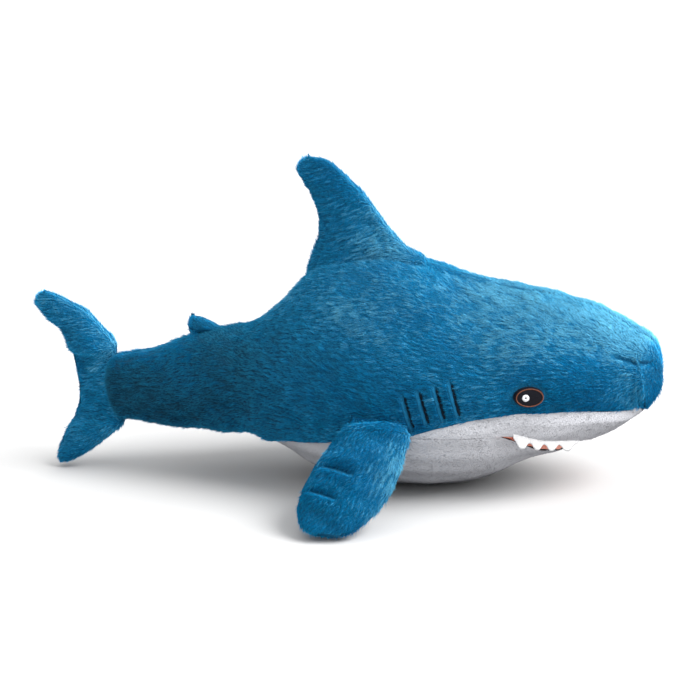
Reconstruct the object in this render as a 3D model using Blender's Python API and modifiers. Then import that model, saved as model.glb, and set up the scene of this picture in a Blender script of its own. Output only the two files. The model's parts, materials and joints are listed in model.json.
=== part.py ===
"""A plush shark, built the way it is sewn: cloth panels over loose stuffing, fins that flop at their
root seams, a body that bends ahead of the tail, a tail fin that swings and a jaw that opens.

Sizes are in millimetres and become metres when a mesh is made. +X points to the nose, +Y to the
shark's left and +Z up. The belly rests on z = 0 and the length is centred on x = 0.
"""

import math

import bmesh
import bpy
from mathutils import Matrix, Vector

MM = 0.001  # metres in a millimetre

# Cloth and clearances
CLOTH = 1.5  # thickness of the plush cloth, backing and pressed pile together
GAP = 0.3  # between neighbours that are sewn or pressed together
INSET = CLOTH + 1.2  # from the outside of the cloth to the stuffing
FIN_EDGE_SHARE = 1.7  # stuffing stays this much further back from a fin's edges than from its sides
LIP = 0.35  # width of the straight edge where cloth turns in to a seam
CLEARANCE = 0.6  # between a round root and its socket
NOSE_X = 150.0  # half of the overall length
REST_Z = 0.0  # the plane the belly rests on

# Body: x, mid height, half height, half width
BODY_STATIONS = (
    (-102.0, 42.0, 17.0, 12.5),
    (-87.0, 42.8, 19.0, 16.5),
    (-71.5, 44.5, 22.6, 20.7),
    (-46.0, 46.8, 27.0, 27.6),
    (-22.0, 49.3, 35.6, 34.8),
    (-4.0, 52.6, 50.4, 40.5),
    (15.0, 52.0, 54.8, 45.5),
    (31.0, 52.2, 55.5, 47.6),
    (51.0, 49.4, 52.1, 48.4),
    (72.5, 48.2, 45.9, 46.4),
    (95.0, 51.5, 38.9, 43.0),
    (114.0, 52.3, 33.5, 37.0),
    (131.0, 52.8, 25.4, 28.4),
    (142.0, 53.0, 17.5, 19.7),
)
SNOUT_FROM = 142.0  # from here the snout closes as a blunt dome
HEAD_XS = (60.0, 72.5, 84.0, 95.0, 107.0, 119.0, 131.0)
SNOUT_SHARES = (0.0, 0.35, 0.65, 0.88)  # places along the dome, 1 being the tip of the nose

# Seam between the blue back and the white belly: x, degrees below the widest line
BELLY_SEAM = ((-38.0, 84.0), (-21.0, 43.0), (7.0, 26.0), (31.0, 21.0), (48.0, 16.5), (69.0, 7.0),
              (84.0, 8.0), (101.0, 11.5), (118.0, 16.0), (131.0, 28.0), (142.0, 60.0))

# Bend of the body: the rear half ends forward in a dome that sits in the front half
BEND_X = -46.0
FRONT_SKIN_FROM = -38.0
FRONT_STUFFING_FROM = -31.0
FRONT_XS = (-30.0, -22.0, -13.0, -4.0, 5.0, 15.0, 31.0, 46.0)
REAR_XS = (-59.0, -71.5, -87.0)
TAIL_X = -102.0  # the tail fin swings about the dome that closes the body here

# Jaw: the sector between the lower lip and the throat, hinged at the corner of the mouth
JAW_HINGE = (84.0, 33.0)
UPPER_LIP_ANGLE = -8.0
LOWER_LIP_ANGLE = -32.0
JAW_BACK_ANGLE = -103.0
THROAT_ANGLE = -118.0
JAW_NARROWING = 0.93  # the lower jaw sits inside the upper lip
LINING = 1.0  # thickness of the felt inside the mouth
LINING_FROM = 3.0  # it starts this far in front of the hinge
LINING_REACH = 60.0
JAW_GAP = 0.5  # between the jaw's cloth and the rays that bound it
HEAD_REACH = 90.0  # farther than any part of the head from the jaw's hinge

# Fins: each row is a leading point and a trailing point on the fin's plane, and a half thickness.
# The first row lies on the line that the fin flops about.
DORSAL_ROWS = (
    ((34.5, 111.5), (-3.5, 107.5), 7.0),
    ((30.0, 118.0), (-2.4, 117.0), 6.2),
    ((25.6, 125.3), (-2.9, 124.3), 6.2),
    ((20.2, 133.2), (-5.2, 132.8), 5.9),
    ((13.5, 140.6), (-9.2, 139.4), 5.4),
    ((7.0, 147.0), (-12.2, 144.4), 4.2),
    ((1.5, 150.4), (-9.8, 148.9), 2.4),
)
DORSAL_TIP = (-5.0, 151.2)
SECOND_ROWS = (
    ((-51.5, 75.0), (-70.5, 69.8), 4.0),
    ((-56.5, 76.2), (-70.9, 73.2), 3.5),
    ((-62.5, 77.7), (-70.3, 76.3), 2.4),
)
SECOND_TIP = (-67.6, 78.6)
TAIL_ROWS = (
    ((-142.0, 90.0), (-150.0, 82.6), 3.2),
    ((-132.0, 85.4), (-143.4, 76.0), 5.2),
    ((-120.0, 78.4), (-136.0, 70.0), 6.8),
    ((-110.4, 67.5), (-132.6, 59.5), 8.0),
    ((-103.5, 56.0), (-131.2, 50.0), 9.0),
    ((-100.0, 43.0), (-130.6, 41.0), 9.2),
    ((-102.0, 28.0), (-131.8, 33.5), 8.6),
    ((-111.5, 19.4), (-135.6, 26.0), 7.2),
    ((-122.0, 11.6), (-141.0, 19.0), 6.0),
    ((-132.0, 5.6), (-145.4, 10.6), 4.6),
    ((-139.6, 2.4), (-146.8, 4.8), 2.8),
)
TAIL_TIPS = ((-148.0, 87.4), (-144.6, 1.6))

# Flippers: the root lies along the flank, and rows run outwards, down and back from it
FLIPPER_ROOT = (31.0, 50.0, 37.0)
FLIPPER_TIP = (15.5, 84.0, 1.4)
FLIPPER_ROWS = ((0.0, 17.6, 6.5), (0.12, 18.6, 6.0), (0.32, 20.8, 6.8), (0.54, 20.6, 6.8),
                (0.75, 18.4, 5.8), (0.9, 13.6, 4.2), (0.98, 7.4, 2.4))  # share, half chord, half thickness

# Eyes
EYE_X = 98.0
EYE_Z = 52.2
EYE_SIZE = (13.0, 9.0)
EYE_PATCH = 0.9
EYE_RING_THREAD = 0.45
EYE_RING_SHARES = (0.84, 0.80)  # of the eye's length and height
EYE_HIGHLIGHT = 3.2
EYE_HIGHLIGHT_AHEAD = 1.6
EYE_BEVEL_SHARE = 0.92  # how much of an oval's size is left at its outer face

# Gills: x and height of each thread's upper end, and the step to its lower end
GILL_TOPS = ((45.5, 52.6), (52.2, 54.9), (59.3, 56.9), (65.8, 58.4))
GILL_RUN = (3.0, -14.0)
GILL_THREAD = 0.55
GILL_STEPS = 5

# Teeth: a felt strip under each side of the upper lip
TEETH_FROM_X = 91.0
TEETH_TO_X = 110.0
TEETH_PER_SIDE = 4
TEETH_LENGTH = 4.3
TEETH_BAND = 1.2
TEETH_FELT = 0.9

# Closing seam, sewn by hand along the left side of the belly
CLOSING_SEAM = (-14.0, 4.0)
CLOSING_THREAD = 0.5
CLOSING_STEPS = 6

# Colour and roughness of each stuff
BLUE_PLUSH = ((0.012, 0.105, 0.188), 0.95)
WHITE_PLUSH = ((0.72, 0.72, 0.74), 0.95)
STUFFING = ((0.86, 0.85, 0.82), 1.0)
SALMON_FELT = ((0.66, 0.24, 0.17), 0.9)
WHITE_FELT = ((0.84, 0.83, 0.80), 0.9)
DARK_THREAD = ((0.004, 0.022, 0.040), 0.6)
BLACK_THREAD = ((0.010, 0.010, 0.012), 0.45)
AMBER_THREAD = ((0.28, 0.09, 0.03), 0.5)
WHITE_THREAD = ((0.85, 0.85, 0.86), 0.5)

RING_STEPS = 20  # points round a whole section of the body
PANEL_STEPS = 8  # steps across one panel of the body
FIN_STEPS = 12  # points round a whole section of a fin
EYE_STEPS = 16
SOCKETED_DOME = (25.0, 50.0)  # degrees round a dome where its cloth stops inside a socket
WHOLE_DOME = (25.0, 50.0, 75.0)
FIN_ROOT_DOME = (30.0, 60.0)

collections = {}


# --- Scene and objects ---------------------------------------------------------------------------

def clear_scene():
    for obj in list(bpy.data.objects):
        bpy.data.objects.remove(obj)


def new_collection(name):
    collection = bpy.data.collections.new(name)
    bpy.context.scene.collection.children.link(collection)
    return collection


def material(name, stuff):
    colour, roughness = stuff
    made = bpy.data.materials.new(name)
    made.use_nodes = True
    shader = made.node_tree.nodes["Principled BSDF"]
    shader.inputs["Base Color"].default_value = (*colour, 1.0)
    shader.inputs["Roughness"].default_value = roughness
    shader.inputs["Metallic"].default_value = 0.0
    return made


def add_object(name, data, stuff, pivot=(0.0, 0.0, 0.0)):
    """A piece of the shark, with its origin at the pivot and its shape where it was."""
    obj = bpy.data.objects.new(name, data)
    collections["part"].objects.link(obj)
    origin = Vector(pivot) * MM
    data.transform(Matrix.Translation(-origin))
    obj.location = origin
    data.materials.append(material(name + "_material", stuff))
    return obj


def add_cutter(name, mesh):
    obj = bpy.data.objects.new(name, mesh)
    collections["cutters"].objects.link(obj)
    obj.hide_render = True
    obj.display_type = "WIRE"
    return obj


def shade(mesh):
    mesh.shade_smooth()
    mesh.set_sharp_from_angle(angle=math.radians(40.0))


def mesh_of(bm, name):
    bmesh.ops.scale(bm, vec=(MM, MM, MM), verts=bm.verts)
    mesh = bpy.data.meshes.new(name)
    bm.to_mesh(mesh)
    bm.free()
    shade(mesh)
    return mesh


def boolean(obj, cutter, operation="DIFFERENCE"):
    modifier = obj.modifiers.new(operation.lower() + "_" + cutter.name, "BOOLEAN")
    modifier.operation = operation
    modifier.solver = "EXACT"
    modifier.object = cutter


def cloth(obj):
    """Gives an open surface the thickness of the cloth, inwards."""
    modifier = obj.modifiers.new("cloth", "SOLIDIFY")
    modifier.thickness = CLOTH * MM
    modifier.offset = -1.0


# --- Lofts through elliptical sections -----------------------------------------------------------

class Section:
    """An ellipse: its centre and its two half axes as vectors."""

    def __init__(self, centre, across, up):
        self.centre = Vector(centre)
        self.across = Vector(across)
        self.up = Vector(up)

    def point(self, degrees):
        angle = math.radians(degrees)
        return self.centre + self.across * math.cos(angle) + self.up * math.sin(angle)

    def tangent(self, degrees):
        angle = math.radians(degrees)
        return (self.up * math.cos(angle) - self.across * math.sin(angle)).normalized()

    def scaled(self, share, shift):
        return Section(self.centre + shift, self.across * share, self.up * share)

    def shrunk(self, depth, edge_share=1.0):
        """The same section, smaller by a depth, or None where nothing is left. edge_share takes more
        off the two narrow edges."""
        sizes = [self.across.length - depth * edge_share, self.up.length - depth]
        if min(sizes) < GAP:
            return None
        return Section(self.centre, self.across.normalized() * sizes[0], self.up.normalized() * sizes[1])


def outward(sections):
    """Whether faces made in ring order already look out."""
    first, last = sections[0], sections[-1]
    return first.across.cross(first.up).dot(last.centre - first.centre) > 0


def arc_points(section, span, steps, shift, floor):
    """Points along an arc of the section. A short straight lip at each end, along the tangent, makes
    the cloth's edge stand square to its outside, so that neighbours at a seam stay apart."""
    first, last = span
    points = [section.point(first + (last - first) * step / steps) for step in range(steps + 1)]
    sign = math.copysign(1.0, last - first)
    points.insert(1, points[0] + section.tangent(first) * sign * LIP)
    points.insert(-1, points[-1] - section.tangent(last) * sign * LIP)
    points = [point + shift for point in points]
    if floor is not None:
        points = [Vector((point.x, point.y, max(point.z, floor))) for point in points]
    return points


def pole_row(bm, place, section, span, steps):
    """One row of points gathered at a pole, which keeps the straight lips of its neighbours."""
    lip = section.tangent(span[0]) * math.copysign(LIP, span[1] - span[0])
    tip = bm.verts.new(place)
    tip_lip = bm.verts.new(place + lip)
    return [tip, *[tip_lip] * (steps + 1), tip]


def open_loft(name, sections, spans, steps, poles=(None, None), floor=None, shift=(0, 0, 0)):
    """A sheet through arcs of the sections. A pole is a point that gathers one end."""
    bm = bmesh.new()
    shift = Vector(shift)
    rows = [[bm.verts.new(point) for point in arc_points(section, span, steps, shift, floor)]
            for section, span in zip(sections, spans)]
    if poles[0] is not None:
        rows.insert(0, pole_row(bm, Vector(poles[0]) + shift, sections[0], spans[0], steps))
    if poles[1] is not None:
        rows.append(pole_row(bm, Vector(poles[1]) + shift, sections[-1], spans[-1], steps))
    for row, following in zip(rows, rows[1:]):
        for i in range(len(row) - 1):
            corners = (row[i], row[i + 1], following[i + 1], following[i])
            bm.faces.new(list(dict.fromkeys(corners)))
    if outward(sections) != (spans[0][1] > spans[0][0]):
        bmesh.ops.reverse_faces(bm, faces=bm.faces)
    return mesh_of(bm, name)


def closed_loft(name, sections, steps, poles=(None, None), floor=None):
    """A solid through the sections, with flat caps, or a pole where one is given."""
    bm = bmesh.new()
    rings = []
    for section in sections:
        points = [section.point(360.0 * step / steps) for step in range(steps)]
        if floor is not None:
            points = [Vector((point.x, point.y, max(point.z, floor))) for point in points]
        rings.append([bm.verts.new(point) for point in points])
    for ring, following in zip(rings, rings[1:]):
        for i in range(steps):
            bm.faces.new((ring[i - 1], ring[i], following[i], following[i - 1]))
    for ring, pole in ((rings[0], poles[0]), (rings[-1], poles[1])):
        if pole is None:
            bm.faces.new(ring)
            continue
        tip = bm.verts.new(pole)
        for i in range(steps):
            bm.faces.new((ring[i - 1], ring[i], tip))
    bmesh.ops.recalc_face_normals(bm, faces=bm.faces)
    return mesh_of(bm, name)


def dome(section, direction, radius, angles):
    """Sections that carry a loft on past its end as half an ellipsoid."""
    rise = Vector(direction).normalized() * radius
    return [section.scaled(math.cos(math.radians(a)), rise * math.sin(math.radians(a))) for a in angles]


def ellipsoid(name, centre, radii, tilt=0.0):
    """A cutter with the given half axes, tilted about Y by some degrees."""
    bm = bmesh.new()
    bmesh.ops.create_uvsphere(bm, u_segments=24, v_segments=14, radius=1.0)
    size = Matrix.Diagonal((*radii, 1.0))
    turn = Matrix.Rotation(math.radians(tilt), 4, "Y")
    bmesh.ops.transform(bm, matrix=Matrix.Translation(centre) @ turn @ size, verts=bm.verts)
    return add_cutter(name, mesh_of(bm, name))


def prism(name, outline, half_width):
    """A cutter from an outline of (x, z) points, as wide to each side of the middle."""
    bm = bmesh.new()
    corners = [bm.verts.new((x, -half_width, z)) for x, z in outline]
    face = bm.faces.new(corners)
    extruded = bmesh.ops.extrude_face_region(bm, geom=[face])
    moved = [v for v in extruded["geom"] if isinstance(v, bmesh.types.BMVert)]
    bmesh.ops.translate(bm, vec=(0.0, 2.0 * half_width, 0.0), verts=moved)
    bmesh.ops.recalc_face_normals(bm, faces=bm.faces)
    return add_cutter(name, mesh_of(bm, name))


# --- Body form -----------------------------------------------------------------------------------

def smooth_between(rows, x):
    """The row of values at x, on a smooth curve through the rows (Catmull-Rom)."""
    last = len(rows) - 1
    i = next((k for k in range(last) if x <= rows[k + 1][0]), last - 1)
    p0, p1, p2, p3 = (rows[min(max(k, 0), last)] for k in (i - 1, i, i + 1, i + 2))
    width = p2[0] - p1[0]
    t = (x - p1[0]) / width
    values = []
    for a, b, c, d in zip(p0[1:], p1[1:], p2[1:], p3[1:]):
        start = (c - a) / max(p2[0] - p0[0], 1e-6) * width
        end = (d - b) / max(p3[0] - p1[0], 1e-6) * width
        values.append((2 * t**3 - 3 * t**2 + 1) * b + (t**3 - 2 * t**2 + t) * start
                      + (3 * t**2 - 2 * t**3) * c + (t**3 - t**2) * end)
    return values


def linear_between(rows, x):
    for (x0, v0), (x1, v1) in zip(rows, rows[1:]):
        if x <= x1:
            return v0 + (v1 - v0) * max(x - x0, 0.0) / (x1 - x0)
    return rows[-1][1]


def body_section(x, depth=0.0, width_share=1.0):
    """The body's section at x. An inset one is smaller, and drawn in towards the middle."""
    mid, half_height, half_width = smooth_between(BODY_STATIONS, min(x, SNOUT_FROM))
    if x > SNOUT_FROM:
        share = math.sqrt(max(1.0 - ((x - SNOUT_FROM) / (NOSE_X - SNOUT_FROM)) ** 2, 0.0))
        half_height *= share
        half_width *= share
    centre = (x * (1.0 - depth / NOSE_X), 0.0, mid)
    return Section(centre, (0.0, half_width * width_share - depth, 0.0), (0.0, 0.0, half_height - depth))


def snout_xs():
    return [SNOUT_FROM + share * (NOSE_X - SNOUT_FROM) for share in SNOUT_SHARES]


def nose_tip(depth=0.0):
    return (NOSE_X - depth, 0.0, BODY_STATIONS[-1][1])


def seam_angle(x):
    return linear_between(BELLY_SEAM, x)


def flank_point(x, z, side, stand_off):
    """A point on the side of the body at x and height z, and the way out from the cloth there."""
    section = body_section(x)
    ahead = body_section(x + 1.0)
    angle = math.degrees(math.asin((z - section.centre.z) / section.up.length))
    point = section.point(angle)
    along = ahead.point(angle) - point
    around = section.point(angle + 1.0) - point
    normal = around.cross(along).normalized()
    point += normal * stand_off
    return Vector((point.x, side * point.y, point.z)), Vector((normal.x, side * normal.y, normal.z))


# --- Sockets -------------------------------------------------------------------------------------

def row_section(row):
    leading, trailing, half_thickness = row
    centre = ((leading[0] + trailing[0]) / 2, 0.0, (leading[1] + trailing[1]) / 2)
    across = ((leading[0] - trailing[0]) / 2, 0.0, (leading[1] - trailing[1]) / 2)
    return Section(centre, across, (0.0, half_thickness, 0.0))


def fin_socket(name, row):
    root = row_section(row)
    tilt = -math.degrees(math.atan2(root.across.z, root.across.x))
    radius = root.up.length + CLEARANCE
    return ellipsoid(name, root.centre, (root.across.length + CLEARANCE, radius, radius), tilt)


def flipper_socket(name, side):
    half_chord, radius = FLIPPER_ROWS[0][1:]
    x, y, z = FLIPPER_ROOT
    radii = (half_chord + CLEARANCE, radius + CLEARANCE, radius + CLEARANCE)
    return ellipsoid(name, (x, side * y, z), radii)


def body_socket(name, x, grow):
    """A dome of the body with its centre at x, larger by some clearance."""
    section = body_section(x)
    radius = section.across.length + grow
    return ellipsoid(name, section.centre, (radius, radius, section.up.length + grow))


def from_hinge(degrees, distance, start=JAW_HINGE):
    angle = math.radians(degrees)
    return (start[0] + distance * math.cos(angle), start[1] + distance * math.sin(angle))


def jaw_sector(name, upper, back, inset):
    """A cutter for the sector between two rays from the hinge, its sides drawn in by the inset."""
    middle = (upper + back) / 2
    apex = from_hinge(middle, inset / math.sin(math.radians(abs(upper - back) / 2)))
    outline = [apex, from_hinge(upper, HEAD_REACH, apex), from_hinge(middle, 2 * HEAD_REACH, apex),
               from_hinge(back, HEAD_REACH, apex)]
    return prism(name, outline, HEAD_REACH)


# --- Body pieces ---------------------------------------------------------------------------------

def front_back_panel(name, side, sockets):
    """A blue side of the front body and head, from the top seam to the belly seam."""
    xs = [FRONT_SKIN_FROM, *FRONT_XS, *HEAD_XS, *snout_xs()]
    sections = [body_section(x) for x in xs]
    spans = []
    for x in xs:
        below = seam_angle(x) if x <= SNOUT_FROM else 90.0
        spans.append((-below, 90.0) if side > 0 else (90.0, 180.0 + below))
    mesh = open_loft(name, sections, spans, PANEL_STEPS, (None, nose_tip()), REST_Z, (0, side * GAP / 2, 0))
    panel = add_object(name, mesh, BLUE_PLUSH)
    cloth(panel)
    for socket in sockets:
        boolean(panel, socket)
    return panel


def belly_surface(name, width_share=1.0):
    xs = [FRONT_SKIN_FROM, *FRONT_XS, *HEAD_XS, SNOUT_FROM]
    sections = [body_section(x, 0.0, width_share) for x in xs]
    spans = []
    for x, section in zip(xs, sections):
        margin = math.degrees(GAP / section.up.length)
        below = seam_angle(x) + margin
        spans.append((180.0 + below, 360.0 - below))
    return open_loft(name, sections, spans, PANEL_STEPS, floor=REST_Z)


def belly_panel(sockets):
    panel = add_object("belly_panel", belly_surface("belly_panel"), WHITE_PLUSH)
    cloth(panel)
    boolean(panel, jaw_sector("mouth_and_jaw_cut", UPPER_LIP_ANGLE, THROAT_ANGLE, 0.0))
    for socket in sockets:
        boolean(panel, socket)


def front_stuffing(sockets):
    xs = [FRONT_STUFFING_FROM, *FRONT_XS[1:], *HEAD_XS, *snout_xs()]
    sections = [body_section(x, INSET) for x in xs]
    mesh = closed_loft("front_stuffing", sections, RING_STEPS, (None, nose_tip(INSET)), INSET)
    stuffing = add_object("body_stuffing_front", mesh, STUFFING)
    boolean(stuffing, jaw_sector("mouth_stuffing_cut", UPPER_LIP_ANGLE, THROAT_ANGLE, -(LINING + GAP)))
    for socket in sockets:
        boolean(stuffing, socket)


def rear_sections(depth, front_angles, rear_angles):
    """The rear body from its front dome to the dome that carries the tail fin."""
    bend, *middle, tail = (body_section(x).shrunk(depth) for x in (BEND_X, *REAR_XS, TAIL_X))
    front = dome(bend, (1, 0, 0), bend.across.length, front_angles)
    back = dome(tail, (-1, 0, 0), tail.across.length, rear_angles)
    return [*reversed(front), bend, *middle, tail, *back]


def rear_back_panel(name, side):
    sections = rear_sections(0.0, SOCKETED_DOME, WHOLE_DOME)
    sections.reverse()
    span = (90.0, 270.0) if side < 0 else (-90.0, 90.0)
    mesh = open_loft(name, sections, [span] * len(sections), PANEL_STEPS, shift=(0, side * GAP / 2, 0))
    panel = add_object(name, mesh, BLUE_PLUSH, (BEND_X, 0.0, body_section(BEND_X).centre.z))
    cloth(panel)
    return panel


def rear_stuffing():
    sections = rear_sections(INSET, WHOLE_DOME, WHOLE_DOME)
    bend, tail = body_section(BEND_X), body_section(TAIL_X)
    poles = ((BEND_X + bend.across.length - INSET, 0.0, bend.centre.z),
             (TAIL_X - tail.across.length + INSET, 0.0, tail.centre.z))
    mesh = closed_loft("rear_stuffing", sections, RING_STEPS, poles)
    return add_object("body_stuffing_rear", mesh, STUFFING, (BEND_X, 0.0, bend.centre.z))


# --- Jaw and mouth -------------------------------------------------------------------------------

def jaw_pivot():
    return (JAW_HINGE[0], 0.0, JAW_HINGE[1])


def jaw_panel():
    mesh = belly_surface("jaw_panel", JAW_NARROWING)
    panel = add_object("jaw_panel", mesh, WHITE_PLUSH, jaw_pivot())
    cloth(panel)
    boolean(panel, jaw_sector("jaw_keep", LOWER_LIP_ANGLE, JAW_BACK_ANGLE, JAW_GAP), "INTERSECT")


def inner_head(name, width_share=1.0):
    """The space inside the cloth of the head, as a closed form."""
    xs = [FRONT_XS[-1], *HEAD_XS, SNOUT_FROM]
    sections = [body_section(x, INSET, width_share) for x in xs]
    return closed_loft(name, sections, RING_STEPS, floor=INSET)


def jaw_stuffing():
    stuffing = add_object("jaw_stuffing", inner_head("jaw_stuffing", JAW_NARROWING), STUFFING, jaw_pivot())
    keep = jaw_sector("jaw_stuffing_keep", LOWER_LIP_ANGLE, JAW_BACK_ANGLE, JAW_GAP + LINING + GAP)
    boolean(stuffing, keep, "INTERSECT")


def lining(name, angle, offset, pivot, width_share):
    """A felt sheet inside the mouth, on the ray at the angle and moved off it by the offset."""
    start = from_hinge(angle, LINING_FROM, from_hinge(angle + 90.0, offset))
    end = from_hinge(angle, LINING_REACH, start)
    outline = [start, end, from_hinge(angle + 90.0, LINING, end), from_hinge(angle + 90.0, LINING, start)]
    sheet = add_object(name, inner_head(name, width_share), SALMON_FELT, pivot)
    boolean(sheet, prism(name + "_keep", outline, HEAD_REACH), "INTERSECT")


def teeth_outline(length):
    """A band with pointed teeth below it, as (along, down) points."""
    step = length / TEETH_PER_SIDE
    points = [(0.0, 0.0)]
    for tooth in range(TEETH_PER_SIDE):
        points.append((tooth * step + GAP, -TEETH_BAND))
        points.append(((tooth + 0.5) * step, -TEETH_LENGTH))
        points.append(((tooth + 1) * step - GAP, -TEETH_BAND))
    points.append((length, 0.0))
    return points


def lip_point(x, side):
    """A point on the outside of the cloth where it ends at the upper lip."""
    z = JAW_HINGE[1] + (x - JAW_HINGE[0]) * math.tan(math.radians(UPPER_LIP_ANGLE)) - GAP - TEETH_FELT / 2
    return flank_point(x, z, side, -TEETH_FELT)[0]


def teeth_strip(name, side):
    start, end = lip_point(TEETH_FROM_X, side), lip_point(TEETH_TO_X, side)
    along = end - start
    curve = bpy.data.curves.new(name, "CURVE")
    curve.dimensions = "2D"
    curve.fill_mode = "BOTH"
    curve.extrude = TEETH_FELT / 2 * MM
    outline = teeth_outline(along.length)
    spline = curve.splines.new("POLY")
    spline.points.add(len(outline) - 1)
    spline.use_cyclic_u = True
    for point, (u, v) in zip(spline.points, outline):
        point.co = (u * MM, v * MM, 0.0, 1.0)
    strip = bpy.data.objects.new(name, curve)
    collections["part"].objects.link(strip)
    x_axis = along.normalized()
    z_axis = x_axis.cross(Vector((0, 0, 1))).normalized()
    y_axis = z_axis.cross(x_axis)
    turn = Matrix((x_axis, y_axis, z_axis)).transposed().to_4x4()
    strip.matrix_world = Matrix.Translation(start * MM) @ turn
    curve.materials.append(material(name + "_material", WHITE_FELT))


# --- Fins ----------------------------------------------------------------------------------------

def fin_halves(names, sections, poles, across_plane, pivot, cutter=None):
    """Two cloth halves of a fin, one to each side of its plane, sewn along its edges."""
    spans = ((0.0, 180.0), (180.0, 360.0))
    for name, span, sign in zip(names, spans, (1, -1)):
        shift = Vector(across_plane) * sign * GAP / 2
        mesh = open_loft(name, sections, [span] * len(sections), FIN_STEPS // 2, poles, shift=shift)
        half = add_object(name, mesh, BLUE_PLUSH, pivot)
        cloth(half)
        if cutter:
            boolean(half, cutter)


def fin_stuffing(name, sections, pivot, cutter=None):
    inner = [section for section in (s.shrunk(INSET, FIN_EDGE_SHARE) for s in sections) if section]
    mesh = closed_loft(name, inner, FIN_STEPS)
    stuffing = add_object(name, mesh, STUFFING, pivot)
    if cutter:
        boolean(stuffing, cutter)


def standing_fin(rows, tip):
    """Sections of a fin that stands on the back, from the round root to the tip, and its tip."""
    sections = [row_section(row) for row in rows]
    root = sections[0]
    down = root.across.cross(root.up)
    if down.z > 0:
        down = -down
    below = dome(root, down, root.up.length, FIN_ROOT_DOME)
    return [*reversed(below), *sections], (None, (tip[0], 0.0, tip[1])), root.centre


def dorsal_fin():
    sections, poles, pivot = standing_fin(DORSAL_ROWS, DORSAL_TIP)
    names = ("dorsal_fin_panel_left", "dorsal_fin_panel_right")
    fin_halves(names, sections, poles, (0, 1, 0), pivot)
    fin_stuffing("dorsal_fin_stuffing", sections, pivot)


def second_dorsal_fin():
    sections, poles, pivot = standing_fin(SECOND_ROWS, SECOND_TIP)
    names = ("second_dorsal_fin_panel_left", "second_dorsal_fin_panel_right")
    fin_halves(names, sections, poles, (0, 1, 0), pivot)


def tail_fin(socket):
    sections = [row_section(row) for row in TAIL_ROWS]
    poles = [(x, 0.0, z) for x, z in TAIL_TIPS]
    pivot = (TAIL_X, 0.0, body_section(TAIL_X).centre.z)
    names = ("tail_fin_panel_left", "tail_fin_panel_right")
    fin_halves(names, sections, poles, (0, 1, 0), pivot, socket)
    inner_socket = body_socket("tail_stuffing_socket", TAIL_X, CLEARANCE + GAP)
    fin_stuffing("tail_fin_stuffing", sections, pivot, inner_socket)


def flipper(side):
    """A flipper: root on the flank, upper cloth outside, lower cloth towards the belly."""
    root = Vector((FLIPPER_ROOT[0], side * FLIPPER_ROOT[1], FLIPPER_ROOT[2]))
    tip = Vector((FLIPPER_TIP[0], side * FLIPPER_TIP[1], FLIPPER_TIP[2]))
    run = tip - root
    outwards = Vector((0.0, run.y, run.z)).normalized()
    under = Vector((0.0, outwards.z * side, -outwards.y * side))
    sections = []
    for share, half_chord, half_thickness in FLIPPER_ROWS:
        sections.append(Section(root + run * share, (half_chord, 0, 0), under * half_thickness))
    below = dome(sections[0], -outwards, sections[0].up.length, FIN_ROOT_DOME)
    sections = [*reversed(below), *sections]
    word = "left" if side > 0 else "right"
    names = (f"flipper_{word}_lower_panel", f"flipper_{word}_upper_panel")
    fin_halves(names, sections, (None, tip), under, root)
    fin_stuffing(f"flipper_{word}_stuffing", sections, root)


# --- Eyes, gills and hand stitches ---------------------------------------------------------------

def facing(point, normal):
    """A frame at the point whose Z looks along the normal and whose X runs along the body."""
    z_axis = normal
    x_axis = Vector((0, 0, 1)).cross(z_axis).normalized()
    y_axis = z_axis.cross(x_axis)
    return Matrix.Translation(point) @ Matrix((x_axis, y_axis, z_axis)).transposed().to_4x4()


def oval(name, frame, size, thickness, stuff):
    bm = bmesh.new()
    bmesh.ops.create_cone(bm, cap_ends=True, segments=EYE_STEPS, radius1=0.5,
                          radius2=0.5 * EYE_BEVEL_SHARE, depth=1.0)
    size_matrix = Matrix.Diagonal((size[0], size[1], thickness, 1.0))
    bmesh.ops.transform(bm, matrix=frame @ size_matrix, verts=bm.verts)
    return add_object(name, mesh_of(bm, name), stuff)


def oval_ring(name, frame, size, thread, stuff):
    curve = bpy.data.curves.new(name, "CURVE")
    curve.dimensions = "3D"
    curve.bevel_depth = thread * MM
    curve.bevel_resolution = 0
    spline = curve.splines.new("POLY")
    spline.points.add(EYE_STEPS - 1)
    spline.use_cyclic_u = True
    for step, point in enumerate(spline.points):
        angle = 2 * math.pi * step / EYE_STEPS
        place = frame @ Vector((size[0] / 2 * math.cos(angle), size[1] / 2 * math.sin(angle), 0.0))
        point.co = (*(place * MM), 1.0)
    add_object(name, curve, stuff)


def eye(side):
    word = "left" if side > 0 else "right"
    lift = GAP + EYE_PATCH / 2
    patch = facing(*flank_point(EYE_X, EYE_Z, side, lift))
    oval(f"eye_{word}_patch", patch, EYE_SIZE, EYE_PATCH, BLACK_THREAD)
    on_top = EYE_PATCH / 2 + GAP
    ring = patch @ Matrix.Translation((0.0, 0.0, on_top + EYE_RING_THREAD))
    ring_size = [size * share for size, share in zip(EYE_SIZE, EYE_RING_SHARES)]
    oval_ring(f"eye_{word}_ring", ring, ring_size, EYE_RING_THREAD, AMBER_THREAD)
    spot = patch @ Matrix.Translation((side * EYE_HIGHLIGHT_AHEAD, 0.0, on_top + EYE_RING_THREAD))
    oval(f"eye_{word}_highlight", spot, (EYE_HIGHLIGHT, EYE_HIGHLIGHT), 2 * EYE_RING_THREAD, WHITE_THREAD)


def thread(name, points, radius, stuff):
    curve = bpy.data.curves.new(name, "CURVE")
    curve.dimensions = "3D"
    curve.bevel_depth = radius * MM
    curve.bevel_resolution = 1
    curve.use_fill_caps = True
    spline = curve.splines.new("POLY")
    spline.points.add(len(points) - 1)
    for point, place in zip(spline.points, points):
        point.co = (*(place * MM), 1.0)
    add_object(name, curve, stuff)


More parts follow.
